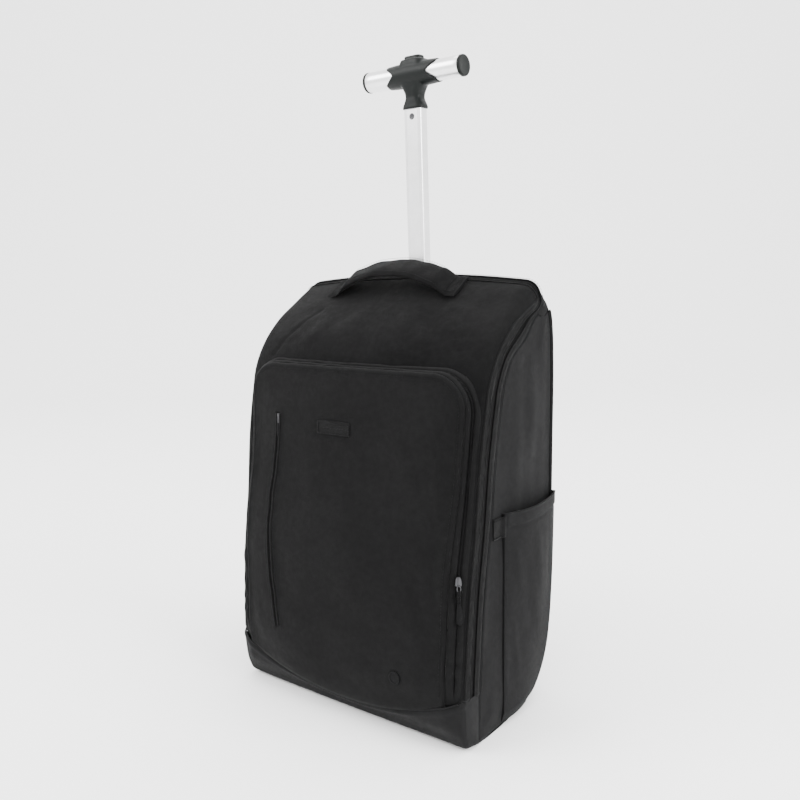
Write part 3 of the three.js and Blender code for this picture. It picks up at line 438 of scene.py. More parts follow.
def stitch(patch, path, normal, mat=0, pitch=3.6, length=2.5, width=0.55, high=0.3):
    """Lays a row of short threads along a path."""
    data = resample(np.hstack([path, np.broadcast_to(normal, path.shape)]), pitch)
    p, n = data[:, :3], data[:, 3:]
    n = n / np.linalg.norm(n, axis=1, keepdims=True)
    t = tangents(p)
    b = np.cross(t, n)
    verts, faces = [], []
    for i in range(len(p)):
        k = len(verts)
        for along, w, up in ((-0.5, 0.3, 0.0), (-0.2, 1.0, 1.0), (0.2, 1.0, 1.0), (0.5, 0.3, 0.0)):
            base = p[i] + t[i] * along * length + n[i] * up * high
            verts += [base - b[i] * w * width / 2, base + b[i] * w * width / 2]
        low = p[i] - n[i] * 0.25
        verts += [low - t[i] * length * 0.4, low + t[i] * length * 0.4]
        faces += [[k, k + 1, k + 3, k + 2], [k + 2, k + 3, k + 5, k + 4], [k + 4, k + 5, k + 7, k + 6],
                  [k, k + 2, k + 8], [k + 2, k + 4, k + 9, k + 8], [k + 4, k + 6, k + 9],
                  [k + 1, k + 8, k + 3], [k + 3, k + 8, k + 9, k + 5], [k + 5, k + 9, k + 7]]
    patch.mesh(verts, faces, mat)


# Materials

def start_material(name):
    mat = bpy.data.materials.new(name)
    mat.use_nodes = True
    tree = mat.node_tree
    return mat, tree, tree.nodes["Principled BSDF"]


def fill(tree, made, feeds, values):
    """Sets a node's values, in whose names _ may stand for a space, and links what feeds it."""
    for key, value in values.items():
        socket = key.replace("_", " ")
        if socket in made.inputs:
            made.inputs[socket].default_value = value
        else:
            setattr(made, key, value)
    for socket, source in feeds.items():
        tree.links.new(source, made.inputs[socket])
    return made


def node(tree, kind, feeds=None, **values):
    return fill(tree, tree.nodes.new(kind), feeds or {}, values)


def noise(tree, place, scale, detail, rough=0.5):
    return node(tree, "ShaderNodeTexNoise", {"Vector": place}, Scale=scale, Detail=detail,
                Roughness=rough).outputs["Fac"]


def spread(tree, source, low, high, start=0.0, end=1.0):
    """Maps the span from start to end onto the span from low to high."""
    return node(tree, "ShaderNodeMapRange", {"Value": source}, From_Min=start, From_Max=end, To_Min=low,
                To_Max=high).outputs[0]


def bumped(tree, height, strength, distance, under=None):
    feeds = {"Height": height} if under is None else {"Height": height, "Normal": under}
    return node(tree, "ShaderNodeBump", feeds, Strength=strength, Distance=distance).outputs[0]


def mottled(tree, place, colour, amount, scales):
    """The colour with soft lighter and darker places at two sizes, and the share it is scaled by."""
    shares = []
    for scale, seed in zip(scales, (0.0, 3.7)):
        moved = node(tree, "ShaderNodeMapping", {"Vector": place}, Location=(seed, seed, seed))
        cloud = noise(tree, moved.outputs[0], scale, 4.0, 0.6)
        shares.append(spread(tree, cloud, 1 - amount, 1 + amount, 0.3, 0.7))
    total = node(tree, "ShaderNodeMath", dict(enumerate(shares)), operation="MULTIPLY").outputs[0]
    tint = node(tree, "ShaderNodeVectorMath", {"Scale": total}, operation="SCALE")
    tint.inputs[0].default_value = colour
    return tint.outputs[0], total


def fabric(name, colour, pitch=0.75, bump=0.35, rough=0.86, sheen=0.02, amount=0.05):
    """Cloth: crossed threads along the uv map, flecks and soft creases."""
    mat, tree, bsdf = start_material(name)
    coords = node(tree, "ShaderNodeTexCoord")
    place = coords.outputs["Object"]
    tint, share = mottled(tree, place, colour, amount, (9.0, 160.0))
    threads = [node(tree, "ShaderNodeTexWave", {"Vector": coords.outputs["UV"]}, bands_direction=axis,
                    Scale=0.31416 / (pitch * MM), Distortion=0.6, Detail=1.0, Detail_Scale=1.5).outputs["Fac"]
               for axis in ("X", "Y")]
    cross = node(tree, "ShaderNodeMath", dict(enumerate(threads)), operation="MULTIPLY")
    high = node(tree, "ShaderNodeMath", {0: noise(tree, place, 900.0, 2.0), 2: cross.outputs[0]},
                operation="MULTIPLY_ADD")
    high.inputs[1].default_value = 0.5
    high = high.outputs[0]
    woven = node(tree, "ShaderNodeVectorMath", {0: tint, "Scale": spread(tree, high, 0.8, 1.15)},
                 operation="SCALE")
    crumple = bumped(tree, noise(tree, place, 55.0, 3.0), 0.25, 0.0012, bumped(tree, high, bump, 0.0004))
    dull = spread(tree, share, rough + 0.06, rough - 0.06, 1 - amount, 1 + amount)
    fill(tree, bsdf, {"Base Color": woven.outputs[0], "Normal": crumple, "Roughness": dull},
         {"Sheen Weight": sheen, "Sheen Roughness": 0.4, "Specular IOR Level": 0.08})
    return mat


def moulded(name, colour, rough=0.42, grain=1400.0, bump=0.18, amount=0.08, specular=0.5):
    mat, tree, bsdf = start_material(name)
    place = node(tree, "ShaderNodeTexCoord").outputs["Object"]
    tint, share = mottled(tree, place, colour, amount, (30.0, 400.0))
    rounded = node(tree, "ShaderNodeBevel", Radius=0.0006, samples=4).outputs[0]
    relief = bumped(tree, noise(tree, place, grain, 3.0, 0.55), bump, 0.0002, rounded)
    gloss = spread(tree, share, rough - 0.07, rough + 0.07, 1 - amount, 1 + amount)
    fill(tree, bsdf, {"Base Color": tint, "Normal": relief, "Roughness": gloss},
         {"Specular IOR Level": specular})
    return mat


def metal(name, colour, rough=0.3, stretch=(220.0, 220.0, 4.0), bump=0.12):
    mat, tree, bsdf = start_material(name)
    place = node(tree, "ShaderNodeTexCoord").outputs["Object"]
    tint, _ = mottled(tree, place, colour, 0.04, (14.0, 90.0))
    drawn = node(tree, "ShaderNodeMapping", {"Vector": place}, Scale=stretch)
    lines = noise(tree, drawn.outputs[0], 9.0, 5.0, 0.7)
    fill(tree, bsdf, {"Base Color": tint, "Normal": bumped(tree, lines, bump, 0.0001),
                      "Roughness": spread(tree, lines, rough - 0.08, rough + 0.1)}, {"Metallic": 1.0})
    return mat


SHELL = fabric("shell cloth", (0.0030, 0.0030, 0.0031))
TOPCLOTH = fabric("top cloth", (0.0016, 0.0016, 0.0017))
GUSSET = fabric("gusset cloth", (0.0032, 0.0032, 0.0033), pitch=0.9)
# Painted light: the sides are the same fabric as the front, given a lighter colour for the stronger light
# that falls on them.
SIDE_CLOTH_PAINTED_LIGHTER = fabric("side cloth painted lighter", (0.0046, 0.0046, 0.0048))
BASE = fabric("base cloth", (0.0042, 0.0042, 0.0044), pitch=1.1, rough=0.76)
ZIPTAPE = fabric("zip tape", (0.0014, 0.0014, 0.0015), pitch=0.5, bump=0.5, rough=0.6, sheen=0.0)
WEBBING = fabric("woven webbing", (0.0024, 0.0024, 0.0025), pitch=1.6, bump=0.8, rough=0.7)
THREAD = fabric("thread", (0.0040, 0.0040, 0.0042), pitch=0.4, rough=0.7, sheen=0.0)
PLASTIC = moulded("black plastic", (0.0030, 0.0040, 0.0037), specular=0.13)
TRIM = moulded("soft trim", (0.0026, 0.0026, 0.0028), rough=0.6, grain=900.0, specular=0.06)
RUBBER = moulded("tyre rubber", (0.006, 0.006, 0.006), rough=0.8, grain=700.0, bump=0.4, specular=0.12)
ALU = metal("satin aluminium", (0.8, 0.8, 0.805))
DARK = metal("dark nickel", (0.055, 0.055, 0.058), rough=0.38, stretch=(60.0, 60.0, 60.0))


# Body seams, as places along the outline (S_) and across it (_W)

S_ZIP_FRONT = s_top(130.0)
S_ZIP_REAR = s_top(138.0)
S_BACK = s_top(159.5)
SEAM_W = SIDE0 + 4.0
ZIP_FRONT_W = SIDE0 + 13.5
ZIP_REAR_W = SIDE0 + 21.5
PANEL_W = SIDE0 + 31.0
ZIP_TURN = 14.0
PANEL_TURN = 24.0
SIDE_FOOT = 60.0
S_SIDE_FOOT = s_front(SIDE_FOOT)


def base_seam_z(x):
    return 23.0 + 37.0 * np.clip(np.abs(x) / HALF, 0, 1)**2


def upath(s_across, w_side, turn, half_only=False):
    """A seam that climbs the right side, turns over the top and, if whole, comes down the left side."""
    a = np.linspace(0, math.pi / 2, 14)
    climbing = np.linspace(S_SIDE_FOOT, s_across - turn, 150)[:-1]
    s = np.concatenate([climbing, s_across - turn + turn * np.sin(a)])
    w = np.concatenate([np.full(149, w_side), w_side - turn + turn * np.cos(a)])
    if half_only:
        return s, w
    mid = np.linspace(w_side - turn, -(w_side - turn), 110)[1:-1]
    return (np.concatenate([s, np.full(len(mid), s_across), s[::-1]]),
            np.concatenate([w, mid, -w[::-1]]))


def ruled(first, last, count, ease=None):
    q = np.linspace(0, 1, count) if ease is None else ease
    return first[:, None, :] * (1 - q)[None, :, None] + last[:, None, :] * q[None, :, None]


# The front and top: one cloth panel that wraps a little onto the sides
arc_w = FLAT + np.linspace(0, ARC, 6)[1:]
panel_w = np.concatenate([-arc_w[::-1], np.linspace(-FLAT, FLAT, 88), arc_w])
s_low = s_front(base_seam_z(panel_w) + 0.5)[None, :]
s_grid = s_low + (S_ZIP_FRONT - s_low) * np.linspace(0, 1, 150)[:, None]
w_grid = np.broadcast_to(panel_w[None, :], s_grid.shape)
top = body(s_grid, w_grid)
X, Z = top[..., 0], top[..., 2]

TOP_SEAM = [(-94, 448), (-112, 430), (-128, 410), (-138, 392)]
relief = 0.7 * waves(top, 150.0, 3) * step(Z, 380, 430)
relief -= 1.5 * bell(line_distance(X, Z, TOP_SEAM), 1.4)
relief -= 0.9 * bell(line_distance(-X, Z, TOP_SEAM), 1.4)
near = bell(line_distance(np.abs(X), Z, [(-p[0], p[1]) for p in TOP_SEAM]), 9.0)
relief += 0.45 * near * np.sin(Z / 3.1 + 2 * waves(top, 60.0, 5))
relief = folds(relief, X, Z, (
    ((30, 446), (78, 404), 9, 2.2), ((52, 452), (112, 408), 8, -1.8), ((64, 438), (96, 398), 6, 1.5),
    ((92, 452), (140, 420), 10, 1.6), ((100, 436), (132, 396), 7, -1.4), ((-60, 440), (-96, 404), 9, 1.4),
    ((-20, 432), (24, 402), 12, -1.2), ((-84, 452), (-124, 440), 7, -1.2), ((118, 462), (150, 440), 9, -1.2),
    ((-6, 452), (-50, 420), 10, 1.1), ((70, 470), (84, 446), 6, -1.4), ((20, 418), (84, 398), 6, 1.2)))
edge_s = S_ZIP_FRONT - s_grid
relief *= step(s_grid, s_low, s_low + 12) * step(edge_s, 0, 6) * step(FLAT + 6 - np.abs(w_grid), 0, 10)
relief -= 0.9 * bell(edge_s, 1.6)
sheet("front_top_cloth", TOPCLOTH, pushed(top, relief), "front_top_panel", 1.6)

# Piping along the seam between the front and the sides
for name, sign in SIDES:
    out = np.array([sign, -0.5, 0.0])
    p = body(np.linspace(S_SIDE_FOOT + 2, S_ZIP_FRONT - 2, 230), sign * (SEAM_W + 0.2))
    patch = Patch()
    rib(patch, p, out / np.linalg.norm(out), oval(1.15, 1.15, 0.35))
    patch.build(f"seam_piping_{name}", GUSSET)

# Side gussets in front of the zip
for name, sign in SIDES:
    s_z, w_z = upath(S_ZIP_FRONT, ZIP_FRONT_W, ZIP_TURN - 4, half_only=True)
    s_e = np.linspace(S_SIDE_FOOT, S_ZIP_FRONT, len(s_z))
    first = body(s_e, sign * (SEAM_W - 1.0))
    last = body(s_z, sign * (w_z + 0.5))
    p = ruled(first, last, 10)
    q = np.linspace(0, 1, 10)[None, :]
    puff = 0.9 * hump(q) * (1 + 0.35 * waves(p, 45.0, 11))
    puff = puff + 0.3 * waves(p, 14.0, 12) * hump(q)
    sheet(f"front_gusset_cloth_{name}", GUSSET, pushed(p, puff, (0, 60, 230)), f"front_gusset_{name}", 1.2)


def zip_strip(first, last, pitch, coil=1.7, high=1.15):
    """A zip between two border lines: flat tape with a ribbed coil along its middle."""
    both = resample(np.hstack([first, last]), pitch)
    first, last = both[:, :3], both[:, 3:]
    width = float(np.linalg.norm(last[len(last) // 2] - first[len(first) // 2]))
    o = np.array([-0.5, -0.4, -0.3]) * width
    inner = np.array([-1.0, -0.85, -0.5, -0.12, 0.12, 0.5, 0.85, 1.0]) * coil
    o = np.concatenate([o, inner, -o[::-1]])
    q = np.clip(o / width + 0.5, 0, 1)
    p = ruled(first, last, len(q), q)
    run = np.concatenate([[0], np.cumsum(np.linalg.norm(np.diff(first, axis=0), axis=1))])[:, None]
    dome = np.sqrt(np.clip(1 - (o / coil)**2, 0, 1))[None, :]
    teeth = 0.62 + 0.38 * np.sin(2 * math.pi * run / 1.7 + np.where(o > 0, math.pi, 0)[None, :])
    lift = high * dome * teeth - 0.25 * (dome > 0) * (np.abs(o) < 0.2 * coil)[None, :]
    return p, lift


s_a, w_a = upath(S_ZIP_FRONT, ZIP_FRONT_W, ZIP_TURN - 4)
s_b, w_b = upath(S_ZIP_REAR, ZIP_REAR_W, ZIP_TURN + 4)
p, lift = zip_strip(body(s_a, w_a), body(s_b, w_b), 0.85)
sheet("main_zip_coil", ZIPTAPE, pushed(p, lift - 0.9), "main_zip", 0.8)

# The gusset behind the zip, which widens over the top and has a hole for the pole
HOLE_X, HOLE_Y, HOLE_FROM = 17, 11, 440
s_c, w_c = upath(S_BACK, PANEL_W, PANEL_TURN)
first, last = body(s_b, w_b), body(s_c, w_c)
p = ruled(first, last, 16)
q = np.linspace(0, 1, 16)[None, :]
puff = (0.8 + 0.5 * waves(p, 70.0, 21)) * hump(q) + 0.25 * waves(p, 16.0, 22) * hump(q)
puff -= 0.8 * bell(q, 0.05) + 0.8 * bell(1 - q, 0.05)
patch = Patch()
patch.grid(pushed(p, puff))
points = np.vstack(patch.v)
centres = points[np.array(patch.f)].mean(axis=1)
kept = ~((np.abs(centres[:, 0]) < HOLE_X) & (np.abs(centres[:, 1] - POLE_Y) < HOLE_Y)
         & (centres[:, 2] > HOLE_FROM))
patch.f = [f for f, keep in zip(patch.f, kept) if keep]
patch.m = [m for m, keep in zip(patch.m, kept) if keep]
patch.build("rear_gusset_cloth", GUSSET, nodes=["rear_gusset"], thick=1.4)

# Narrow folded edges on both sides of the zip, with a row of stitches beside each
FOLDED = [(-1.0, -0.4), (1.0, -0.4), (1.1, 0.2), (0.6, 0.75), (0, 0.9), (-0.6, 0.75), (-1.1, 0.2)]
patch = Patch()
for s_e, w_e, side in ((s_a, w_a, -1), (s_b, w_b, 1)):
    line = resample(body(s_e, w_e), 3.0)
    t = tangents(line)
    flank = (np.abs(line[:, 0]) > HALF * 0.94)[:, None]
    out = smoothed(np.where(flank, np.sign(line[:, :1]) * [[1.0, 0, 0]], [[0.0, -0.2, 1.0]]), 6)
    out -= t * np.sum(out * t, axis=1, keepdims=True)
    out /= np.linalg.norm(out, axis=1, keepdims=True)
    rib(patch, line, out, FOLDED)
    stitch(patch, line + np.cross(t, out) * 3.2 * side + out * 0.7, out, 1)
patch.build("main_zip_edges", [GUSSET, THREAD])


# Sides, as plane points moved onto the flared side face
def on_side(y, z, sign, out=0.0):
    return np.stack([sign * (flared(HALF, z) + out), y + 0 * z, z + 0 * y], -1)


def side_front_line(count):
    s_u, w_u = upath(S_BACK, PANEL_W, PANEL_TURN, half_only=True)
    p = body(s_u[w_u > SEAM_W], w_u[w_u > SEAM_W])
    return evenly(np.vstack([[[0, 12, 2.5], [0, 12, 56]], p[p[:, 2] > 62] * [0, 1, 1]]), count)[:, 1:]


def side_rear_line(count):
    return evenly(body(np.linspace(outline.s[30], S_BACK - 6, 700), SIDE0 + 3.2)[:, 1:], count)


for name, sign in SIDES:
    rows = 130
    first, last = side_front_line(rows), side_rear_line(rows)
    q = np.linspace(0, 1, 56)
    flat = ruled(first, last, 56)
    y, z = flat[..., 0], flat[..., 1]
    across = np.linalg.norm(last - first, axis=1)[:, None] * np.minimum(q, 1 - q)[None, :]
    along = np.minimum(np.arange(rows), np.arange(rows)[::-1])[:, None] * 3.4
    inner = np.minimum(across, along)
    p3 = np.stack([y * 0, y, z], -1)
    puff = 2.4 * step(inner, 0, 42) - 0.9 * bell(across, 1.8)
    puff += 0.8 * waves(p3, 110.0, 31 + sign) * step(inner, 0, 30)
    puff += 0.35 * waves(p3 * [1, 1, 0.4], 26.0, 33) * step(inner, 4, 20)
    puff = folds(puff, y, z, (((26, 250), (60, 400), 9, 0.9), ((60, 255), (52, 380), 12, -0.8),
                              ((110, 260), (120, 400), 14, 0.9), ((16, 90), (30, 210), 6, 1.0)))
    sheet(f"side_cloth_{name}", SIDE_CLOTH_PAINTED_LIGHTER, on_side(y, z, sign, puff), f"side_panel_{name}", 1.4)
    line = on_side(first[:, 0] + 3.4, first[:, 1], sign, 0.2)
    patch = Patch()
    stitch(patch, line[6:-8], (sign, 0, 0))
    patch.build(f"side_stitching_{name}", THREAD)

# Back panel, softly padded, with two quilting lines
BACK_FOOT = 82.0
s_low_back = s_back(BACK_FOOT)
s_grid = np.linspace(S_BACK, s_low_back, 120)[:, None]
w_back = np.concatenate([[-SEAM_W], -arc_w[::-1], np.linspace(-FLAT, FLAT, 70), arc_w, [SEAM_W]])
w_grid = w_back[None, :]
back = body(s_grid, w_grid)
from_edge = np.minimum(SEAM_W - np.abs(w_grid), np.minimum(s_grid - S_BACK, s_low_back - s_grid))
puff = 1.6 * step(from_edge, 0, 30) + 0.5 * waves(back, 120.0, 41) * step(from_edge, 0, 30)
puff -= 1.0 * bell(from_edge, 1.6)
for level in (385.0, 150.0):
    puff -= 1.2 * bell(back[..., 2] - level, 1.6) * step(SEAM_W - np.abs(w_grid), 4, 12)
sheet("back_cloth", TOPCLOTH, pushed(back, puff), "back_panel", 1.6)
for name, sign in SIDES:
    p = body(np.linspace(S_BACK + 3, s_low_back - 2, 160), sign * (SEAM_W + 0.4))
    patch = Patch()
    rib(patch, p, (sign * 0.8, 0.6, 0.0), oval(0.9, 0.9))
    patch.build(f"back_piping_{name}", GUSSET)


# Base: the band round the front foot, the floor and the round corner behind it
def band_push(x, z):
    forward = np.maximum(body_front_y(z) - pocket_face_y(z), 0)
    return forward * step(z, 4, 30) * (1 - step(np.abs(x), 140, 163))


WHEEL_Y = 135.0
WELL_IN, WELL_OUT, WELL_RADIUS, WELL_Z = 102.2, 133.8, 37.4, 30.6     # the openings round the wheels
s_floor = outline.s[30] - outline.length
w_base = panel_w[None, :]
top_s = s_front(base_seam_z(w_base) - 0.3)
s_grid = top_s + (s_floor - top_s) * np.linspace(0, 1, 70)[:, None]
band = body(s_grid, w_base)
band[..., 1] -= band_push(band[..., 0], band[..., 2]) * (band[..., 1] < 40)
relief = 0.5 * waves(band, 90.0, 51) - 0.9 * bell(top_s - s_grid, 1.4)
relief += 0.9 * bell(top_s - s_grid - 5, 3.0)
relief = np.where(band[..., 2] < 1.0, 0.0, relief)
patch = Patch()
patch.grid(pushed(band, relief))
s_rear = np.linspace(s_floor, s_back(BACK_FOOT) - outline.length, 70)
for low, high, count in ((-SEAM_W, -WELL_OUT, 14), (-WELL_IN, WELL_IN, 40), (WELL_OUT, SEAM_W, 14)):
    patch.grid(body(s_rear[:, None], np.linspace(low, high, count)[None, :]))
reach = np.linalg.norm(outline.at(s_rear)[:, :2] - [WHEEL_Y, WELL_Z], axis=1)
blocked = np.where(reach < WELL_RADIUS)[0]
for sign in (1, -1):
    w = np.linspace(sign * WELL_IN, sign * WELL_OUT, 6)
    for part in (s_rear[:blocked[0]], s_rear[blocked[-1] + 1:]):
        if len(part) > 1:
            patch.grid(body(part[:, None], w[None, :]))
for sign in (1, -1):
    front_side = body(np.linspace(S_SIDE_FOOT, 0.5, 50), sign * (SEAM_W + 0.6))
    rear_side = on_side(np.full(50, 12.6), np.linspace(60.0, 1.5, 50), sign)
    q = np.linspace(0, 1, 12)[None, :]
    patch.grid(pushed(ruled(front_side, rear_side, 12), 0.9 * hump(q)))
for points in patch.v:
    points[:, 2] = np.maximum(points[:, 2], 0.3)
patch.build("base_cloth", BASE, nodes=["base_panel"], merge=0.05)

patch = Patch()
x_run = np.linspace(-160, 160, 240)
p = body(s_front(base_seam_z(x_run) + 0.2), x_run)
p[:, 1] -= band_push(p[:, 0], p[:, 2])
rib(patch, p, (0.0, -1.0, 0.1), oval(0.9, 0.9, 0.1))
stitch(patch, (p + [0, -0.35, -4.2])[14:-14], (0.0, -1.0, 0.1), 1)
patch.build("base_seam", [BASE, THREAD])


# Front pocket

def round_top(x, half, top, corner):
    a = np.clip(np.abs(x) - (half - corner), 0, corner)
    return top - corner + np.sqrt(np.maximum(corner**2 - a**2, 0))


def pocket_y(x, z):
    crown = 6.0 * np.clip(1 - (x / POCKET_HALF)**2, 0, 1) * np.clip((POCKET_TOP - z) / 60.0, 0.15, 1)
    return pocket_face_y(z) - crown * 0.75


CLIMB = 1.7
RIM = 3.4
LABEL_X, LABEL_Z, LABEL_W, LABEL_H = -14.5, 322.0, 23.5, 7.5
x_face = np.sin(np.linspace(-math.pi / 2, math.pi / 2, 130)) * POCKET_HALF
z_high = round_top(x_face, POCKET_HALF, POCKET_TOP, POCKET_CORNER)
z_low = base_seam_z(x_face) - 0.6
climb = 1 - (1 - np.linspace(0, 1, 140))**CLIMB
zz = z_low[None, :] + (z_high - z_low)[None, :] * climb[:, None]
xx = np.broadcast_to(x_face[None, :], zz.shape)
arc_d = POCKET_CORNER - np.hypot(np.maximum(np.abs(xx) - (POCKET_HALF - POCKET_CORNER), 0),
                                 np.maximum(zz - (POCKET_TOP - POCKET_CORNER), 0))
edge_d = np.where((np.abs(xx) > POCKET_HALF - POCKET_CORNER) & (zz > POCKET_TOP - POCKET_CORNER),
                  arc_d, np.minimum(POCKET_HALF - np.abs(xx), POCKET_TOP - zz))
edge_d = np.maximum(edge_d, 0)
face = np.stack([flared(xx, zz, POCKET_FLARE), pocket_y(xx, zz), zz], -1)
rounding = RIM - np.sqrt(np.maximum(RIM**2 - np.maximum(RIM - edge_d, 0)**2, 0))
swell = 1.8 * step(edge_d, 2, 40) * step(zz - z_low[None, :], 0, 40)
relief = 0.9 * waves(face, 150.0, 61) + 0.3 * waves(face, 42.0, 62)
relief = folds(relief, xx, zz, (
    ((-60, 300), (-20, 210), 16, 1.0), ((10, 280), (60, 190), 18, -1.1), ((60, 330), (110, 250), 12, 1.0),
    ((-96, 200), (-70, 110), 14, -0.9), ((30, 150), (90, 110), 12, 0.9), ((100, 200), (126, 120), 9, -0.9),
    ((116, 330), (132, 230), 7, 0.9), ((-136, 130), (-120, 70), 8, 0.9), ((-40, 130), (30, 80), 14, 0.8)))
relief *= step(edge_d, 3, 18) * step(zz - z_low[None, :], 1, 14)
WELT = np.array([[-0.338, 1.0], [-0.343, 0.9], [-0.350, 0.76], [-0.352, 0.62], [-0.336, 0.42],
                 [-0.304, 0.262]]) * [296.0, 330.0]
welt_d = line_distance(xx, zz, [tuple(p) for p in WELT])
relief -= 1.6 * bell(welt_d, 2.2)
relief += 0.7 * bell(welt_d - 5.0, 2.6)
label_d = np.maximum(np.abs(xx - LABEL_X) - LABEL_W, np.abs(zz - LABEL_Z) - LABEL_H)
relief -= 0.7 * bell(np.maximum(label_d, 0), 3.0)
face_in = face.copy()
face_in[..., 1] += rounding
face_done = pushed(face_in, swell + relief)
patch = Patch()
patch.grid(face_done)


def border(half, top, corner, flare, y_of):
    """The U-shaped border of the pocket, from the left foot over the top to the right foot."""
    z0 = base_seam_z(half)
    climb_z = z0 + (top - corner - z0) * np.linspace(0, 1, 130)
    a = np.linspace(0, math.pi / 2, 34)
    arc_x, arc_z = half - corner + corner * np.cos(a), top - corner + corner * np.sin(a)
    x = np.linspace(-half + corner, half - corner, 92)[1:-1]
    left = np.vstack([np.stack([np.full(130, -half), climb_z], -1), np.stack([-arc_x, arc_z], -1)[1:]])
    xz = np.vstack([left, np.stack([x, np.full(len(x), top)], -1), left[::-1] * [-1, 1]])
    return np.stack([flared(xz[:, 0], xz[:, 1], flare), y_of(xz[:, 0], xz[:, 1]), xz[:, 1]], -1)


def rear_y(x, z):
    s = s_front(z)
    c = outline.at(s)
    share = np.clip(1 - (x / HALF)**2, 0, 1)
    return c[..., 0] - c[..., 2] * share / np.maximum(outline.tangent(s)[..., 1], 0.3) + 1.5


front_edge = border(POCKET_HALF, POCKET_TOP, POCKET_CORNER, POCKET_FLARE, lambda x, z: pocket_y(x, z) + RIM)
rear_edge = border(REAR_HALF, REAR_TOP, REAR_CORNER, FLARE, rear_y)
run = np.concatenate([[0], np.cumsum(np.linalg.norm(np.diff((front_edge + rear_edge) / 2, axis=0), axis=1))])
fine = np.linspace(0, run[-1], int(run[-1] / 1.0))
front_edge, rear_edge = (np.stack([np.interp(fine, run, edge[:, k]) for k in range(3)], -1)
                         for edge in (front_edge, rear_edge))
ZIP_END = 165.0
on_zip = step(front_edge[:, 2], ZIP_END - 2, ZIP_END + 4)[:, None]
q = np.array([0, .06, .13, .2, .27, .33, .36, .385, .41, .435, .455, .475, .49, .505, .525, .545, .57,
              .595, .62, .66, .72, .79, .86, .93, 1.0])
rim = ruled(front_edge, rear_edge, len(q), q)
qq = q[None, :]
teeth = 0.6 + 0.4 * np.sin(2 * math.pi * fine[:, None] / 1.8 + np.where(qq > 0.49, math.pi, 0))
coil = np.sqrt(np.clip(1 - ((qq - 0.49) / 0.075)**2, 0, 1))
zip_lift = -1.5 * step(qq, 0.33, 0.38) * step(1 - qq, 0.35, 0.41) + 1.2 * coil * teeth
flap = 1.3 * hump(np.clip(qq / 0.36, 0, 1)) + 1.0 * hump(np.clip((qq - 0.62) / 0.38, 0, 1))
pucker = np.sin(fine[:, None] / 3.4 + 1.5 * waves(rim, 40.0, 63))
fold = 3.0 * hump(np.clip(qq / 0.55, 0, 1))**0.8 + 2.0 * hump(np.clip((qq - 0.55) / 0.45, 0, 1))
fold = fold + 0.8 * pucker * hump(qq) - 1.0 * bell(qq - 0.55, 0.03)
low_fade = step(rim[..., 2], 56, 78)
lift = on_zip * (zip_lift + flap) + (1 - on_zip) * fold * low_fade
ends = step(qq, 0, 0.05) * step(1 - qq, 0, 0.05)
lift = lift * ends + 0.35 * waves(rim, 30.0, 64) * ends
rim_done = pushed(rim, lift)
cut_a, cut_b = 6, 18     # the rim's columns between which the zip lies
patch.grid(rim_done[:, :cut_a + 1], 1)
patch.grid(rim_done[:, cut_b:], 1)
patch.grid(rim_done[:, cut_a:cut_b + 1], 2)
below_zip = np.repeat(front_edge[:-1, 2] < ZIP_END, cut_b - cut_a)
patch.m[-len(below_zip):] = np.where(below_zip, 1, 2).tolist()
patch.build("front_pocket_cloth", [SHELL, GUSSET, ZIPTAPE], thick=1.2, merge=0.02,
            nodes=["front_pocket_panel", "front_pocket_gusset", "front_pocket_zip", "front_pocket_fold_right",
                   "front_pocket_fold_left"])

# Stitching beside the edge of the pocket's face
patch = Patch()
edge_line = resample(front_edge, 2.5)
b = np.cross(tangents(edge_line), FRONT)
inward = edge_line + b * 5.2 * np.sign(b[0, 0])
inward[:, 1] = pocket_y(np.clip(inward[:, 0], -POCKET_HALF, POCKET_HALF), inward[:, 2]) - 0.4
stitch(patch, inward[4:-4], FRONT)
patch.build("front_pocket_stitching", THREAD)


# Fittings of the front pocket

def on_pocket(x, z, out=0.0):
    x, z = np.broadcast_arrays(np.asarray(x, float), np.asarray(z, float))
    j = np.interp(x, x_face, np.arange(len(x_face)))
    low, high = np.interp(x, x_face, z_low), np.interp(x, x_face, z_high)
    i = (1 - (1 - np.clip((z - low) / (high - low), 0, 1))**(1 / CLIMB)) * (len(climb) - 1)
    j0 = np.clip(j.astype(int), 0, len(x_face) - 2)
    i0 = np.clip(i.astype(int), 0, len(climb) - 2)
    fj, fi = (j - j0)[..., None], (i - i0)[..., None]
    g = face_done
    p = ((g[i0, j0] * (1 - fj) + g[i0, j0 + 1] * fj) * (1 - fi)
         + (g[i0 + 1, j0] * (1 - fj) + g[i0 + 1, j0 + 1] * fj) * fi)
    return p + FRONT * np.asarray(out)[..., None]


def tube(patch, path, radius, mat=0):
    """A round cord along a path."""
    t = tangents(path)
    up = FRONT if abs(t[len(t) // 2][1]) < 0.8 else np.array([0.0, 0.0, 1.0])
    b = np.cross(t, up)
    b /= np.linalg.norm(b, axis=1, keepdims=True)
    n = np.cross(b, t)
    swept(patch, 8, lambda c, s: path + (b * c + n * s) * radius, mat)


def superellipse(half_w, half_h, power=4.0, count=40):
    c, s = np.cos(circle(count)), np.sin(circle(count))
    return np.stack([half_w * np.sign(c) * np.abs(c)**(2 / power),
                     half_h * np.sign(s) * np.abs(s)**(2 / power)], -1)


def plate(patch, place, half_w, half_h, thick, power=6.0, rim=0.8, mat=0, border=0.0, count=64):
    """A flat plate with a rounded edge; place(u, v, up) gives points of the surface that it lies on."""
    rings = [(0.0, -0.3), (0.0, thick - rim), (0.12 * rim, thick - 0.45 * rim),
             (0.5 * rim, thick - 0.12 * rim), (rim, thick)]
    if border:
        rings += [(rim + border + more, thick - lower) for more, lower in ((0, 0), (0.3, 0.35), (1.2, 0.35))]
    rings += [(min(half_w, half_h) * part, rings[-1][1]) for part in (0.55, 0.93)]
    rows = [place(*superellipse(half_w - grow, half_h - grow, power, count).T, up) for grow, up in rings]
    patch.cap(patch.grid(np.stack(rows), mat, away=None, close=True)[-1], mat)


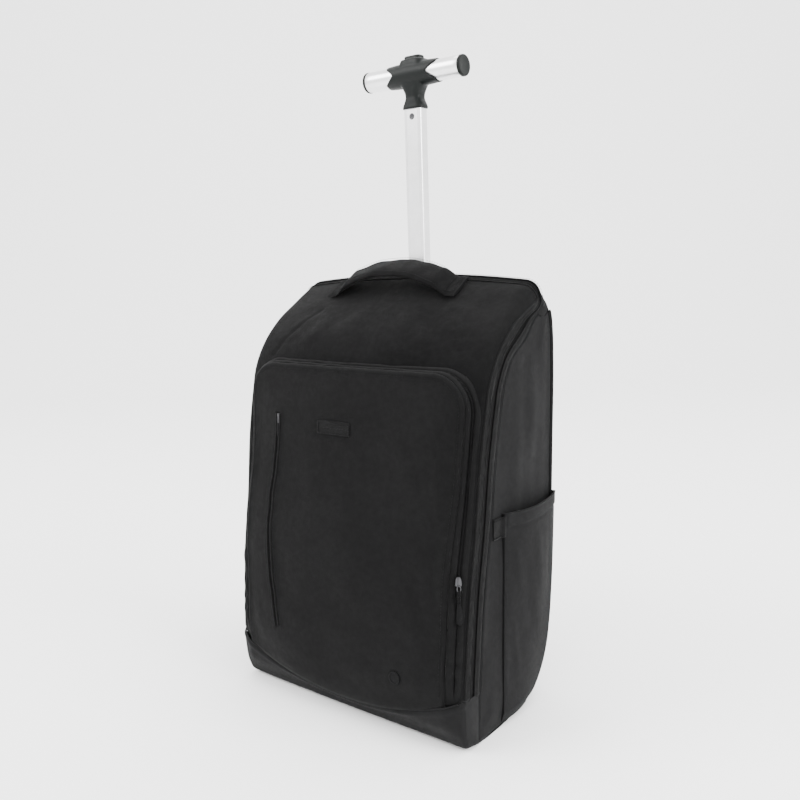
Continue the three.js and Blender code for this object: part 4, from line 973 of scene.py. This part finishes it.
# Welt zip on the left of the pocket: a coil sunk between two lips, and its pull
line = smoothed(resample(WELT[::-1], 0.8), 30)
across = np.stack([tangents(line)[:, 1], -tangents(line)[:, 0]], -1)


def beside_welt(shift):
    return on_pocket(*(line + shift * across).T)


patch = Patch()
p, lift = zip_strip(beside_welt(-2.3), beside_welt(2.3), 0.75, coil=1.2, high=0.9)
patch.grid(p + FRONT * (lift + 0.25)[..., None])
for shift in (-3.0, 3.0):
    rib(patch, beside_welt(shift), FRONT, oval(1.25, 0.95, 0.15, 10), 1)
    stitch(patch, beside_welt(1.9 * shift), FRONT, 2)
patch.build("welt_zip_cloth", [ZIPTAPE, SHELL, THREAD], nodes=["welt_zip"], thick=0.5)

patch = Patch()
pull_x = float(WELT[0][0])
loop = np.array([[pull_x - 0.9, 330.5], [pull_x - 1.2, 324], [pull_x - 0.8, 319]])
path = resample(np.vstack([loop[::-1], [2 * pull_x, 0] + loop * [-1, 1]]), 1.0)
tube(patch, on_pocket(path[:, 0], path[:, 1], 1.9), 0.5, 1)
e = np.linspace(0, 1, 26)
radius = 0.9 + 1.15 * hump(np.clip(e * 0.86 + 0.12, 0, 1))**0.5
centre_line = on_pocket(pull_x, 320 - 16 * e, 2.1)
swept(patch, 16, lambda c, s: centre_line + np.stack([radius * c, -0.72 * radius * s, 0 * e], -1))
head = on_pocket(pull_x, 327.0)
plate(patch, lambda u, v, up: np.stack([head[0] + u, head[1] - 0.6 - up + 0 * u, head[2] + v], -1),
      2.1, 3.6, 2.0, 4.0, 0.7, 1)
patch.build("welt_zip_puller", [TRIM, DARK], nodes=["welt_zip_pull"])

patch = Patch()
plate(patch, lambda u, v, up: on_pocket(LABEL_X + u, LABEL_Z + v, 0.2 + up), LABEL_W, LABEL_H, 1.1, 10.0,
      0.6, 0, 1.4, 120)
e = superellipse(LABEL_W - 1.9, LABEL_H - 1.8, 10.0, 200)
e = np.vstack([e, e[:1]])
stitch(patch, on_pocket(LABEL_X + e[:, 0], LABEL_Z + e[:, 1], 1.2), FRONT, 1,
       pitch=2.2, length=1.5, width=0.4, high=0.2)
patch.build("label_patch_woven", [WEBBING, THREAD], nodes=["label_patch"])

patch = Patch()
plate(patch, lambda u, v, up: on_pocket(88.0 + u, 71.0 + v, 0.15 + up), 7.4, 7.4, 1.3, 2.0, 0.6, 0, 1.0, 60)
patch.build("round_badge_moulded", TRIM, nodes=["round_badge"])

# The rim's slider and its cord puller
low, high = (np.array(corner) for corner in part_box("front_pocket_slider"))
mid = (low + high) / 2 / MM + [0, MID, 0]
facing = np.array([0.72, -0.69, 0.0])
flank = np.array([0.69, 0.72, 0.0])
rise = np.array([0.0, 0.0, 1.0])


def at_slider(u, v, up):
    u, v, up = (np.asarray(k, float)[..., None] for k in (u, v, up))
    return mid + flank * u + rise * v + facing * up


patch = Patch()
plate(patch, lambda u, v, up: at_slider(u * (1 - 0.04 * v), v, up - 1.9), 3.1, 5.0, 2.1, 3.5, 0.6)
plate(patch, lambda u, v, up: at_slider(u, v + 0.5, up - 0.1), 0.9, 3.4, 1.5, 4.0, 0.5)
a = np.linspace(0, 2 * math.pi, 30)
tube(patch, at_slider(1.9 * np.cos(a), -6.8 + 3.0 * np.sin(a), 0.9), 0.55)
for k in range(4):
    wound = mid + rise * (-10.2 - 1.5 * k) + facing * 0.8
    tube(patch, wound + flank * (1.5 * np.cos(a))[:, None] + facing * (1.2 * np.sin(a))[:, None]
         + rise * (0.4 * np.sin(a))[:, None], 0.7, 1)
patch.build("front_pocket_slider_metal", [DARK, WEBBING], nodes=["front_pocket_slider"])

patch = Patch()
e = np.linspace(0, 1, 40)
spine = mid + rise * (-9.0 - 16.0 * e[:16, None] / e[15]) + facing * 0.8
for side in (-0.75, 0.75):
    tube(patch, spine + flank * side, 0.85)
tip_z = -22.0 - 23.0 * e
width = 1.9 + 1.35 * step(e, 0.0, 0.5)
width = width * np.sqrt(np.clip(1 - ((e - 0.82) / 0.18).clip(0, 1)**2, 0.02, 1))
depth = 1.5 * np.sqrt(np.clip(1 - ((e - 0.86) / 0.14).clip(0, 1)**2, 0.03, 1))
swept(patch, 24, lambda c, s: (mid + rise * tip_z[:, None] + facing * (0.7 + depth * s)[:, None]
                               + flank * (width * c)[:, None]), 1)
patch.build("front_pocket_pull", [WEBBING, TRIM], nodes=["front_pocket_puller"])


# Side pockets: a sheet that stands off the side, open at the top

def back_edge_y(z):
    return np.minimum(166.0, outline.at(s_back(z))[..., 0] - 2.0)


MOUTH = 240.0
for name, sign in SIDES:
    z = 5.5 + 234.5 * (1 - (1 - np.linspace(0, 1, 90))**1.25)[:, None]
    v = np.linspace(0, 1, 60)[None, :]
    y = 57.0 + (back_edge_y(z) - 57.0) * v
    zz = np.broadcast_to(z, y.shape)
    off = 4.2 * step(zz, 2, 18) + hump(v)**0.8 * 9.2 * (0.3 + 0.7 * np.clip(z / MOUTH, 0, 1))
    p3 = np.stack([y * 0, y, zz], -1)
    off = off + 0.8 * waves(p3 * [1, 1, 0.5], 60.0, 71 + sign) * step(v, 0, 0.15) * step(1 - v, 0, 0.15)
    off = folds(off, y, zz, (((64, 226), (96, 120), 7, 1.1), ((78, 190), (120, 60), 10, -1.1),
                             ((110, 228), (126, 130), 8, 0.9), ((70, 130), (84, 40), 6, 0.9),
                             ((140, 226), (150, 120), 7, -0.8)))
    hem = MOUTH - zz
    off = off + 1.0 * step(16 - hem, 0, 3) * step(v, 0, 0.04) + 0.5 * bell(hem, 1.6)
    off = off - 0.8 * bell(hem - 16.0, 1.3)
    slack = 1.5 * hump(v) * step(zz, 180, MOUTH)
    sheet_p = on_side(y, zz - slack, sign, off)
    patch = Patch()
    patch.grid(sheet_p)
    for edge, count, away in ((sheet_p[:, 0], 5, (0, 120, 120)), (sheet_p[:, -1], 5, (0, 100, 120)),
                              (sheet_p[0], 4, (0, 110, 200))):
        patch.grid(ruled(on_side(edge[:, 1], edge[:, 2], sign, 0.2), edge, count), away=away)
    # The pocket sheet takes the sides' colour, which is painted lighter for the light on the sides.
    patch.build(f"side_pocket_cloth_{name}", SIDE_CLOTH_PAINTED_LIGHTER, nodes=[f"side_pocket_{name}"], thick=1.8, merge=0.05)
    row = int(np.argmin(np.abs(z[:, 0] - 224.5)))
    patch = Patch()
    stitch(patch, sheet_p[row, 2:-2], (sign, 0, 0))
    stitch(patch, sheet_p[8:-2, 1] + [sign * 0.3, 2.0, 0], (sign, 0, 0))
    patch.build(f"side_pocket_stitching_{name}", THREAD)
    patch = Patch()
    tab_v = np.linspace(0, 1, 14)
    tab_y = np.stack([40 + 18.5 * tab_v] * 12, 0)
    tab_z = np.stack([np.full(14, h) for h in np.linspace(215, 237, 12)], 0)
    bend = 0.7 + 3.6 * step(tab_y, 52, 58) + 0.3 * hump(tab_v)[None, :]
    patch.grid(on_side(tab_y, tab_z, sign, bend + 0.9))
    seam_y = np.linspace(41.5, 55.5, 12)
    for level in (217.0, 235.0):
        line = on_side(seam_y, level, sign, 1.8 + 3.0 * step(seam_y, 52, 58))
        stitch(patch, line, (sign, 0, 0), 1, 2.8, 2.0, 0.45, 0.25)
    patch.build(f"side_pocket_tab_cloth_{name}", [WEBBING, THREAD], nodes=[f"side_pocket_tab_{name}"],
                thick=1.5)


# Carry handle: a padded strap whose flat ends are sewn to the top

def top_height(x, y):
    s = np.linspace(s_top(40.0), s_top(150.0), 260)
    p = body(s, np.full(len(s), x))
    return np.interp(y, p[:, 1], p[:, 2])


CARRY_X, CARRY_Y, CARRY_HALF, CARRY_END = -6.0, 110.0, 80.0, 12.0     # place, half length and end flaps
slope = math.atan2(top_height(80.0, 118.0) - top_height(80.0, 102.0), 16.0)
count = 150
x_c = np.linspace(-CARRY_HALF - CARRY_END, CARRY_HALF + CARRY_END, count)
share = np.clip(1 - np.abs(x_c) / CARRY_HALF, 0, 1)
lift_c = 15.0 * np.sin(math.pi / 2 * np.minimum(1, share * 1.1))
thick_c = 3.2 + 7.0 * step(share, 0.0, 0.22)
tilt = slope * (1 - 0.3 * lift_c / 20.0)
low_c = np.array([top_height(x + CARRY_X, CARRY_Y) for x in x_c]) + 0.6 + lift_c
half_c = 18.6 + 0.6 * step(share, 0.25, 0.8) + 0.5 * np.sin(x_c / 7.0) * step(share, 0.05, 0.3)
def carry_points(a, u):
    """A line along the handle, a across it and u above its underside."""
    return np.stack([x_c + CARRY_X, CARRY_Y + a * np.cos(tilt) - u * np.sin(tilt),
                     low_c + a * np.sin(tilt) + u * np.cos(tilt)], -1)


strap = np.stack([carry_points(a * half_c, (u * (1 - 0.45 * abs(a)**6) + 0.5) * thick_c)
                  for a, u in superellipse(1.0, 0.5, 2.6, 48)], 1)
strap[..., 2] += 0.35 * waves(strap, 22.0, 81)
patch = Patch()
patch.closed(strap)
carry = patch.build("carry_handle_padded", TOPCLOTH, nodes=["carry_handle"])
patch = Patch()
out = np.stack([0 * x_c, -np.sin(tilt), np.cos(tilt)], -1)
for edge in (-1, 1):
    stitch(patch, carry_points(edge * (half_c - 3.0), thick_c * 0.97)[3:-3], out[3:-3])
for end in (-1, 1):
    x0 = CARRY_X + end * (CARRY_HALF - 2.0)
    x1 = CARRY_X + end * (CARRY_HALF + 8.0)
    corners = [(x0, -13), (x1, -13), (x1, 13), (x0, 13), (x0, -13), (x1, 13)]
    t_end = float(np.interp(abs(x0 - CARRY_X), x_c[count // 2:], tilt[count // 2:]))
    box_path = resample(np.array(corners, float), 1.0)
    base = np.interp(box_path[:, 0] - CARRY_X, x_c, low_c + thick_c)
    pts = np.stack([box_path[:, 0], CARRY_Y + box_path[:, 1] * math.cos(t_end) - 1.5,
                    base + box_path[:, 1] * math.sin(t_end) + 0.2], -1)
    stitch(patch, pts, (0.0, -math.sin(t_end), math.cos(t_end)), 0, 2.6, 2.0, 0.6, 0.4)
patch.build("carry_handle_stitching", THREAD)


# Pull handle

def baked(obj, name, material, on, nodes=(), angle=40):
    """Turns a piece with its modifiers into a plain mesh."""
    bpy.context.view_layer.update()
    graph = bpy.context.evaluated_depsgraph_get()
    mesh = bpy.data.meshes.new_from_object(obj.evaluated_get(graph))
    mesh.name = name
    mesh.materials.clear()
    mesh.materials.append(material)
    mesh.polygons.foreach_set("material_index", [0] * len(mesh.polygons))
    shade_smooth(mesh, angle)
    bpy.data.objects.remove(obj)
    finish_piece(linked(name, mesh), on, nodes)


def loose(patch, name):
    mesh = bpy.data.meshes.new(name)
    mesh.from_pydata(to_row(np.vstack(patch.v)).tolist(), [], patch.f)
    reworked(mesh, lambda bm: bmesh.ops.recalc_face_normals(bm, faces=bm.faces))
    return linked(name, mesh)


BAR_Z, COLLAR_Z, NOTCH_X, HUB_END = 711.5, 673.0, 23.0, 35.0


def bar_ring(x, radius, count=64):
    """A ring round the bar's axis."""
    a = circle(count)
    return np.stack([np.full(count, float(x)), POLE_Y + radius * np.cos(a), BAR_Z + radius * np.sin(a)], -1)


def pole_ring(e, z):
    """A level ring round the pole's axis."""
    return np.stack([e[:, 0], POLE_Y + e[:, 1], np.full(len(e), float(z))], -1)


hub = Patch()
hub.closed([bar_ring(x, 14.3 - 1.5 * abs(x / HUB_END)**1.6) for x in np.linspace(-HUB_END, HUB_END, 41)])
# The neck from the collar up: height share, width and depth
neck = np.array([[0.0, 1.0, 1.0], [0.06, 0.99, 0.99], [0.13, 0.93, 0.95], [0.24, 0.76, 0.93],
                 [0.34, 0.69, 0.89], [0.45, 0.73, 0.93], [0.57, 0.88, 0.99], [0.72, 1.12, 1.08],
                 [0.88, 1.4, 1.16], [1.0, 1.5, 1.19]])
share = np.linspace(0, 1, 40)
wide, deep = np.interp(share, neck[:, 0], neck[:, 1]) * 14.6, np.interp(share, neck[:, 0], neck[:, 2]) * 10.1
hub.closed([pole_ring(superellipse(w, d, 3.4, 64), COLLAR_Z + (BAR_Z - COLLAR_Z) * k)
            for w, d, k in zip(wide, deep, share)])
hub.closed([pole_ring(superellipse(w, d, 4.5, 64), z) for z, w, d in (
    (712, 17, 12), (722, 16.5, 11.5), (725.5, 15.6, 10.8), (727.4, 14.6, 10), (728, 13.4, 9))])
hub = loose(hub, "hub_solid")
mod = hub.modifiers.new("one skin", "REMESH")
mod.mode = "VOXEL"
mod.voxel_size = 0.0008
mod = hub.modifiers.new("soft", "SMOOTH")
mod.iterations = 9
cut = Patch()
for sign in (1, -1):
    cut.closed([bar_ring(sign * x, 11.75) for x in (NOTCH_X, HUB_END + 8)])
    tip = np.array([[NOTCH_X + 14 * abs(t)**1.25 * 0.93, 10.2 * t] for t in np.linspace(-1, 1, 25)])
    tip = np.vstack([tip, [[HUB_END + 12, 10.2], [HUB_END + 12, -10.2]]])
    cut.closed([np.stack([sign * tip[:, 0], np.full(27, POLE_Y + y), BAR_Z + tip[:, 1]], -1)
                for y in (-22.0, 22.0)])
for w, d, z0, z1 in ((11.4, 6.9, 718.6, 740.0), (12.1, 7.6, 660.0, 679.3)):
    cut.closed([pole_ring(superellipse(w, d, 5.0, 48), z) for z in (z0, z1)])
cutter = loose(cut, "hub_cutter")
mod = hub.modifiers.new("seats", "BOOLEAN")
mod.operation, mod.solver, mod.object = "DIFFERENCE", "EXACT", cutter
mod.use_self = True
baked(hub, "bar_hub_moulded", PLASTIC, "handle", ["bar_hub"], angle=32)
bpy.data.objects.remove(cutter)


def on_handle(name, material, rings, stands_for, on="handle"):
    patch = Patch()
    patch.closed(rings)
    patch.build(name, material, on=on, nodes=[stands_for], angle=30)


on_handle("release_button_moulded", PLASTIC, [
    pole_ring(superellipse(11.0 + grow, 6.5 + grow, 5.0, 60), z) for z, grow in (
        (722.0, -0.5), (722.2, 0.0), (730.2, 0.0), (731.1, -0.3), (731.7, -0.9), (732.0, -2.0),
        (731.8, -4.5))],
    "release_button", "button")
for name, sign in SIDES:
    on_handle(f"grip_tube_{name}", ALU, [bar_ring(sign * x, r, 72) for x, r in (
        (23.3, 10.1), (23.3, 11.3), (23.6, 11.6), (40, 11.6), (58, 11.6), (64.7, 11.6), (65.1, 11.4),
        (65.2, 10.2))], f"grip_{name}")
    on_handle(f"grip_end_{name}", PLASTIC, [bar_ring(sign * x, r, 72) for x, r in (
        (65.4, 9.0), (65.4, 11.3), (65.6, 11.8), (67.6, 11.8), (68.5, 11.5), (69.0, 10.9), (69.0, 8.0),
        (68.8, 6.8), (68.8, 1.0))], f"grip_cap_{name}")

outer = superellipse(12.0, 7.5, 7.0, 144)
groove = bell(np.abs(outer[:, 0]) - 8.4, 0.35) * 0.45 * (np.abs(outer[:, 1]) > 6.0)
outer[:, 1] -= np.sign(outer[:, 1]) * groove
inner = superellipse(10.4, 5.9, 7.0, 144)
patch = Patch()
loops = [pole_ring(e, z) for e, z in (
    (inner, 401.5), (inner, 401.0), (outer, 401.0), (outer, 401.5), (outer, 500.0), (outer, 600.0),
    (outer, 678.7), (outer, 679.0), (inner, 679.0), (inner, 678.5), (inner, 401.5))]
patch.grid(np.stack(loops), away=None, close=True)
patch.build("pole_extruded", ALU, on="handle", nodes=["pole"], angle=30)

a = circle(39)
on_handle("pole_screw_head", DARK, [
    np.stack([r * np.cos(a), np.full(39, POLE_Y - 7.5 + y), 664.6 + r * np.sin(a)], -1) for r, y in (
        (3.6, 0.4), (3.6, -0.1), (3.2, -0.3), (2.6, -0.28), (2.2, -0.1), (1.3, -0.06), (0.3, -0.06))],
    "pole_screw")

for node_name in ("pole_sleeve", "pole_bezel", "wheel_housing_right", "wheel_housing_left"):
    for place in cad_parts[node_name].material_slots:
        place.link = "OBJECT"
        place.material = PLASTIC


# Shoulder straps on the back

def back_y(x, z):
    s = s_back(z)
    return body(s, x)[..., 1] + 1.2


STRAP_X = 72
for name, sign in SIDES:
    share = np.linspace(0, 1, 120)
    z = 196 + 241 * share
    end = np.minimum(share, 1 - share) * 9
    half_w = 31.0 * np.minimum(1, 0.55 + end * (2 - np.minimum(end, 1)) * 0.45)
    thick = 9.0 * np.minimum(1, 0.4 + end * 0.8)
    x_mid = sign * STRAP_X + sign * 8 * hump(share)
    pts = []
    for a, u in superellipse(1.0, 0.5, 2.6, 44):
        px = x_mid + a * half_w
        pinch = 1 - 0.5 * abs(a)**5
        quilt = 1 - 0.14 * bell(np.abs(a) - 0.72, 0.05) * (u > 0)
        pts.append(np.stack([px, back_y(px, z) + 0.3 + (u * pinch * quilt + 0.5) * thick, z], -1))
    pad = np.stack(pts, 1)
    pad[..., 1] += 0.4 * waves(pad, 30.0, 91) * step(end, 0, 1)[:, None]
    patch = Patch()
    patch.closed(pad)
    made = patch.build(f"strap_padding_{name}", TOPCLOTH, nodes=[f"strap_pad_{name}"])
    patch = Patch()
    for edge in (-1, 1):
        px = x_mid + edge * (half_w - 4.5)
        line = np.stack([px, back_y(px, z) + 0.5 + thick * 0.98, z], -1)
        stitch(patch, line[4:-4], -FRONT)
    patch.build(f"strap_stitching_{name}", THREAD)
    z = np.linspace(92, 169.4, 60)
    px, zz = np.broadcast_arrays(sign * STRAP_X + np.linspace(-12.5, 12.5, 12)[None, :], z[:, None])
    ribbed = 0.25 * np.cos(2 * math.pi * np.linspace(0, 4, 12))[None, :]
    out = 2.2 + ribbed + 3.2 * step(zz, 146, 169)
    patch = Patch()
    patch.grid(np.stack([px, back_y(px, zz) + out, zz], -1))
    for shift in (-9.5, 9.5):
        px = np.full(60, sign * STRAP_X + shift)
        line = np.stack([px, back_y(px, z) + 2.5 + 3.2 * step(z, 146, 169), z], -1)
        stitch(patch, line[1:12], -FRONT, 1)
    patch.build(f"strap_webbing_woven_{name}", [WEBBING, THREAD], nodes=[f"strap_webbing_{name}"], thick=1.7)
    patch = Patch()
    y0 = float(back_y(sign * STRAP_X, 183.0)) + 1.4
    for z0, z1 in ((170.2, 174.6), (180.4, 185.4), (191.2, 195.4)):
        rings = []
        e = superellipse((z1 - z0) / 2, 2.2, 3.0, 24)
        for u in np.linspace(-1, 1, 19):
            k = math.sqrt(max(1 - abs(u)**12, 0.05))
            rings.append(np.stack([np.full(24, sign * STRAP_X + 16.6 * u), y0 + 2.2 + e[:, 1] * k,
                                   (z0 + z1) / 2 + e[:, 0] * k], -1))
        patch.closed(rings)
    e = superellipse(2.0, 2.2, 3.0, 24)
    for u0 in (-15.0, 15.0):
        patch.closed([np.stack([sign * STRAP_X + u0 + e[:, 0], y0 + 2.2 + e[:, 1], np.full(24, z1)], -1)
                      for z1 in np.linspace(171.2, 194.6, 12)])
    patch.build(f"strap_ladder_{name}", PLASTIC, nodes=[f"strap_buckle_{name}"], angle=40)


# Wheels
wheel_low, wheel_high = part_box("wheel_tyre_right")
WHEEL_Z = 500.0 * (wheel_low[2] + wheel_high[2])
# Half profiles as (radius, place along the axle), from the right face to the middle
TYRE = [(24.3, -10.6), (25.5, -11), (27.6, -10.9), (29.4, -9.6), (30.4, -7.4), (30.6, -4), (30.2, -1.2)]
CENTRE = [(4.4, -11), (7.6, -11), (8.4, -10.3), (8.8, -7.5), (12, -6.6), (18.5, -6.8), (20.4, -9.4),
          (22.6, -10.2), (23.9, -9.9)]


def lathe(patch, centre_x, half, middle=()):
    profile = [*half, *middle, *((r, -h) for r, h in half[::-1]), half[0]]
    a = circle(96)
    rings = [np.stack([np.full(96, centre_x + h), WHEEL_Y + r * np.cos(a), WHEEL_Z + r * np.sin(a)], -1)
             for r, h in profile]
    patch.grid(np.stack(rings), away=None, close=True)


for name, sign in SIDES:
    cx = sign * 118.0
    patch = Patch()
    lathe(patch, cx, TYRE, [(29.9, 0)])
    patch.build(f"tyre_{name}", RUBBER, on=f"wheel_{name}", nodes=[f"wheel_tyre_{name}"], angle=40)
    patch = Patch()
    lathe(patch, cx, CENTRE)
    for face_x in (-1, 1):
        for a in (k * math.pi / 3 for k in range(6)):
            outward = np.array([0, math.cos(a), math.sin(a)])
            sideways = np.array([0, -math.sin(a), math.cos(a)])
            rings = []
            for r in np.linspace(8.0, 21.5, 8):
                e = superellipse(1.5 + 0.05 * r, 1.4, 3.0, 16)
                rings.append(np.array([cx + face_x * 7.2, WHEEL_Y, WHEEL_Z]) + outward * r
                             + sideways * e[:, :1] + np.array([1.0, 0, 0]) * e[:, 1:])
            patch.closed(rings)
    patch.build(f"wheel_centre_{name}", PLASTIC, on=f"wheel_{name}", nodes=[f"wheel_hub_{name}"], angle=40)


# Stage: a pale floor that runs up into a backdrop, and soft light

def stage_and_light():
    mat, tree, bsdf = start_material("studio white")
    fill(tree, bsdf, {}, {"Base Color": (0.95, 0.95, 0.95, 1), "Roughness": 0.9, "Specular IOR Level": 0.1})
    turns = [(-3.0, 0.0)] + [(2.2 + 1.6 * math.sin(a), 1.6 - 1.6 * math.cos(a))
                             for a in np.linspace(0, math.pi / 2, 24)] + [(3.8, 5.0)]
    direction = Vector((CAM_FWD[0], CAM_FWD[1], 0)).normalized()
    side = Vector((direction.y, -direction.x, 0))
    verts, faces = [], []
    for along, up in turns:
        for across in (-5.0, 5.0):
            p = direction * along + side * across
            verts.append((p.x, p.y, up))
    for i in range(len(turns) - 1):
        faces.append((2 * i, 2 * i + 1, 2 * i + 3, 2 * i + 2))
    mesh = bpy.data.meshes.new("studio_floor")
    mesh.from_pydata(verts, [], faces)
    mesh.polygons.foreach_set("use_smooth", [True] * len(faces))
    mesh.materials.append(mat)
    linked("studio_floor", mesh)
    world = bpy.data.worlds.new("studio")
    world.use_nodes = True
    world.node_tree.nodes["Background"].inputs["Color"].default_value = (1, 1, 1, 1)
    world.node_tree.nodes["Background"].inputs["Strength"].default_value = 2.7
    bpy.context.scene.world = world
    for name, place, aim, size, power in (
            ("key", (-1.6, -1.9, 2.3), (0, 0, 0.35), 1.6, 90.0),
            ("right", (2.6, 0.2, 1.5), (0, 0, 0.3), 1.6, 112.0),
            ("top", (0.2, 0.3, 3.2), (0, 0, 0.2), 2.2, 80.0)):
        light = bpy.data.lights.new(name, "AREA")
        light.size = size
        light.energy = power
        obj = linked(name, light)
        obj.location = place
        obj.rotation_euler = (Vector(aim) - Vector(place)).to_track_quat("-Z", "Y").to_euler()


stage_and_light()
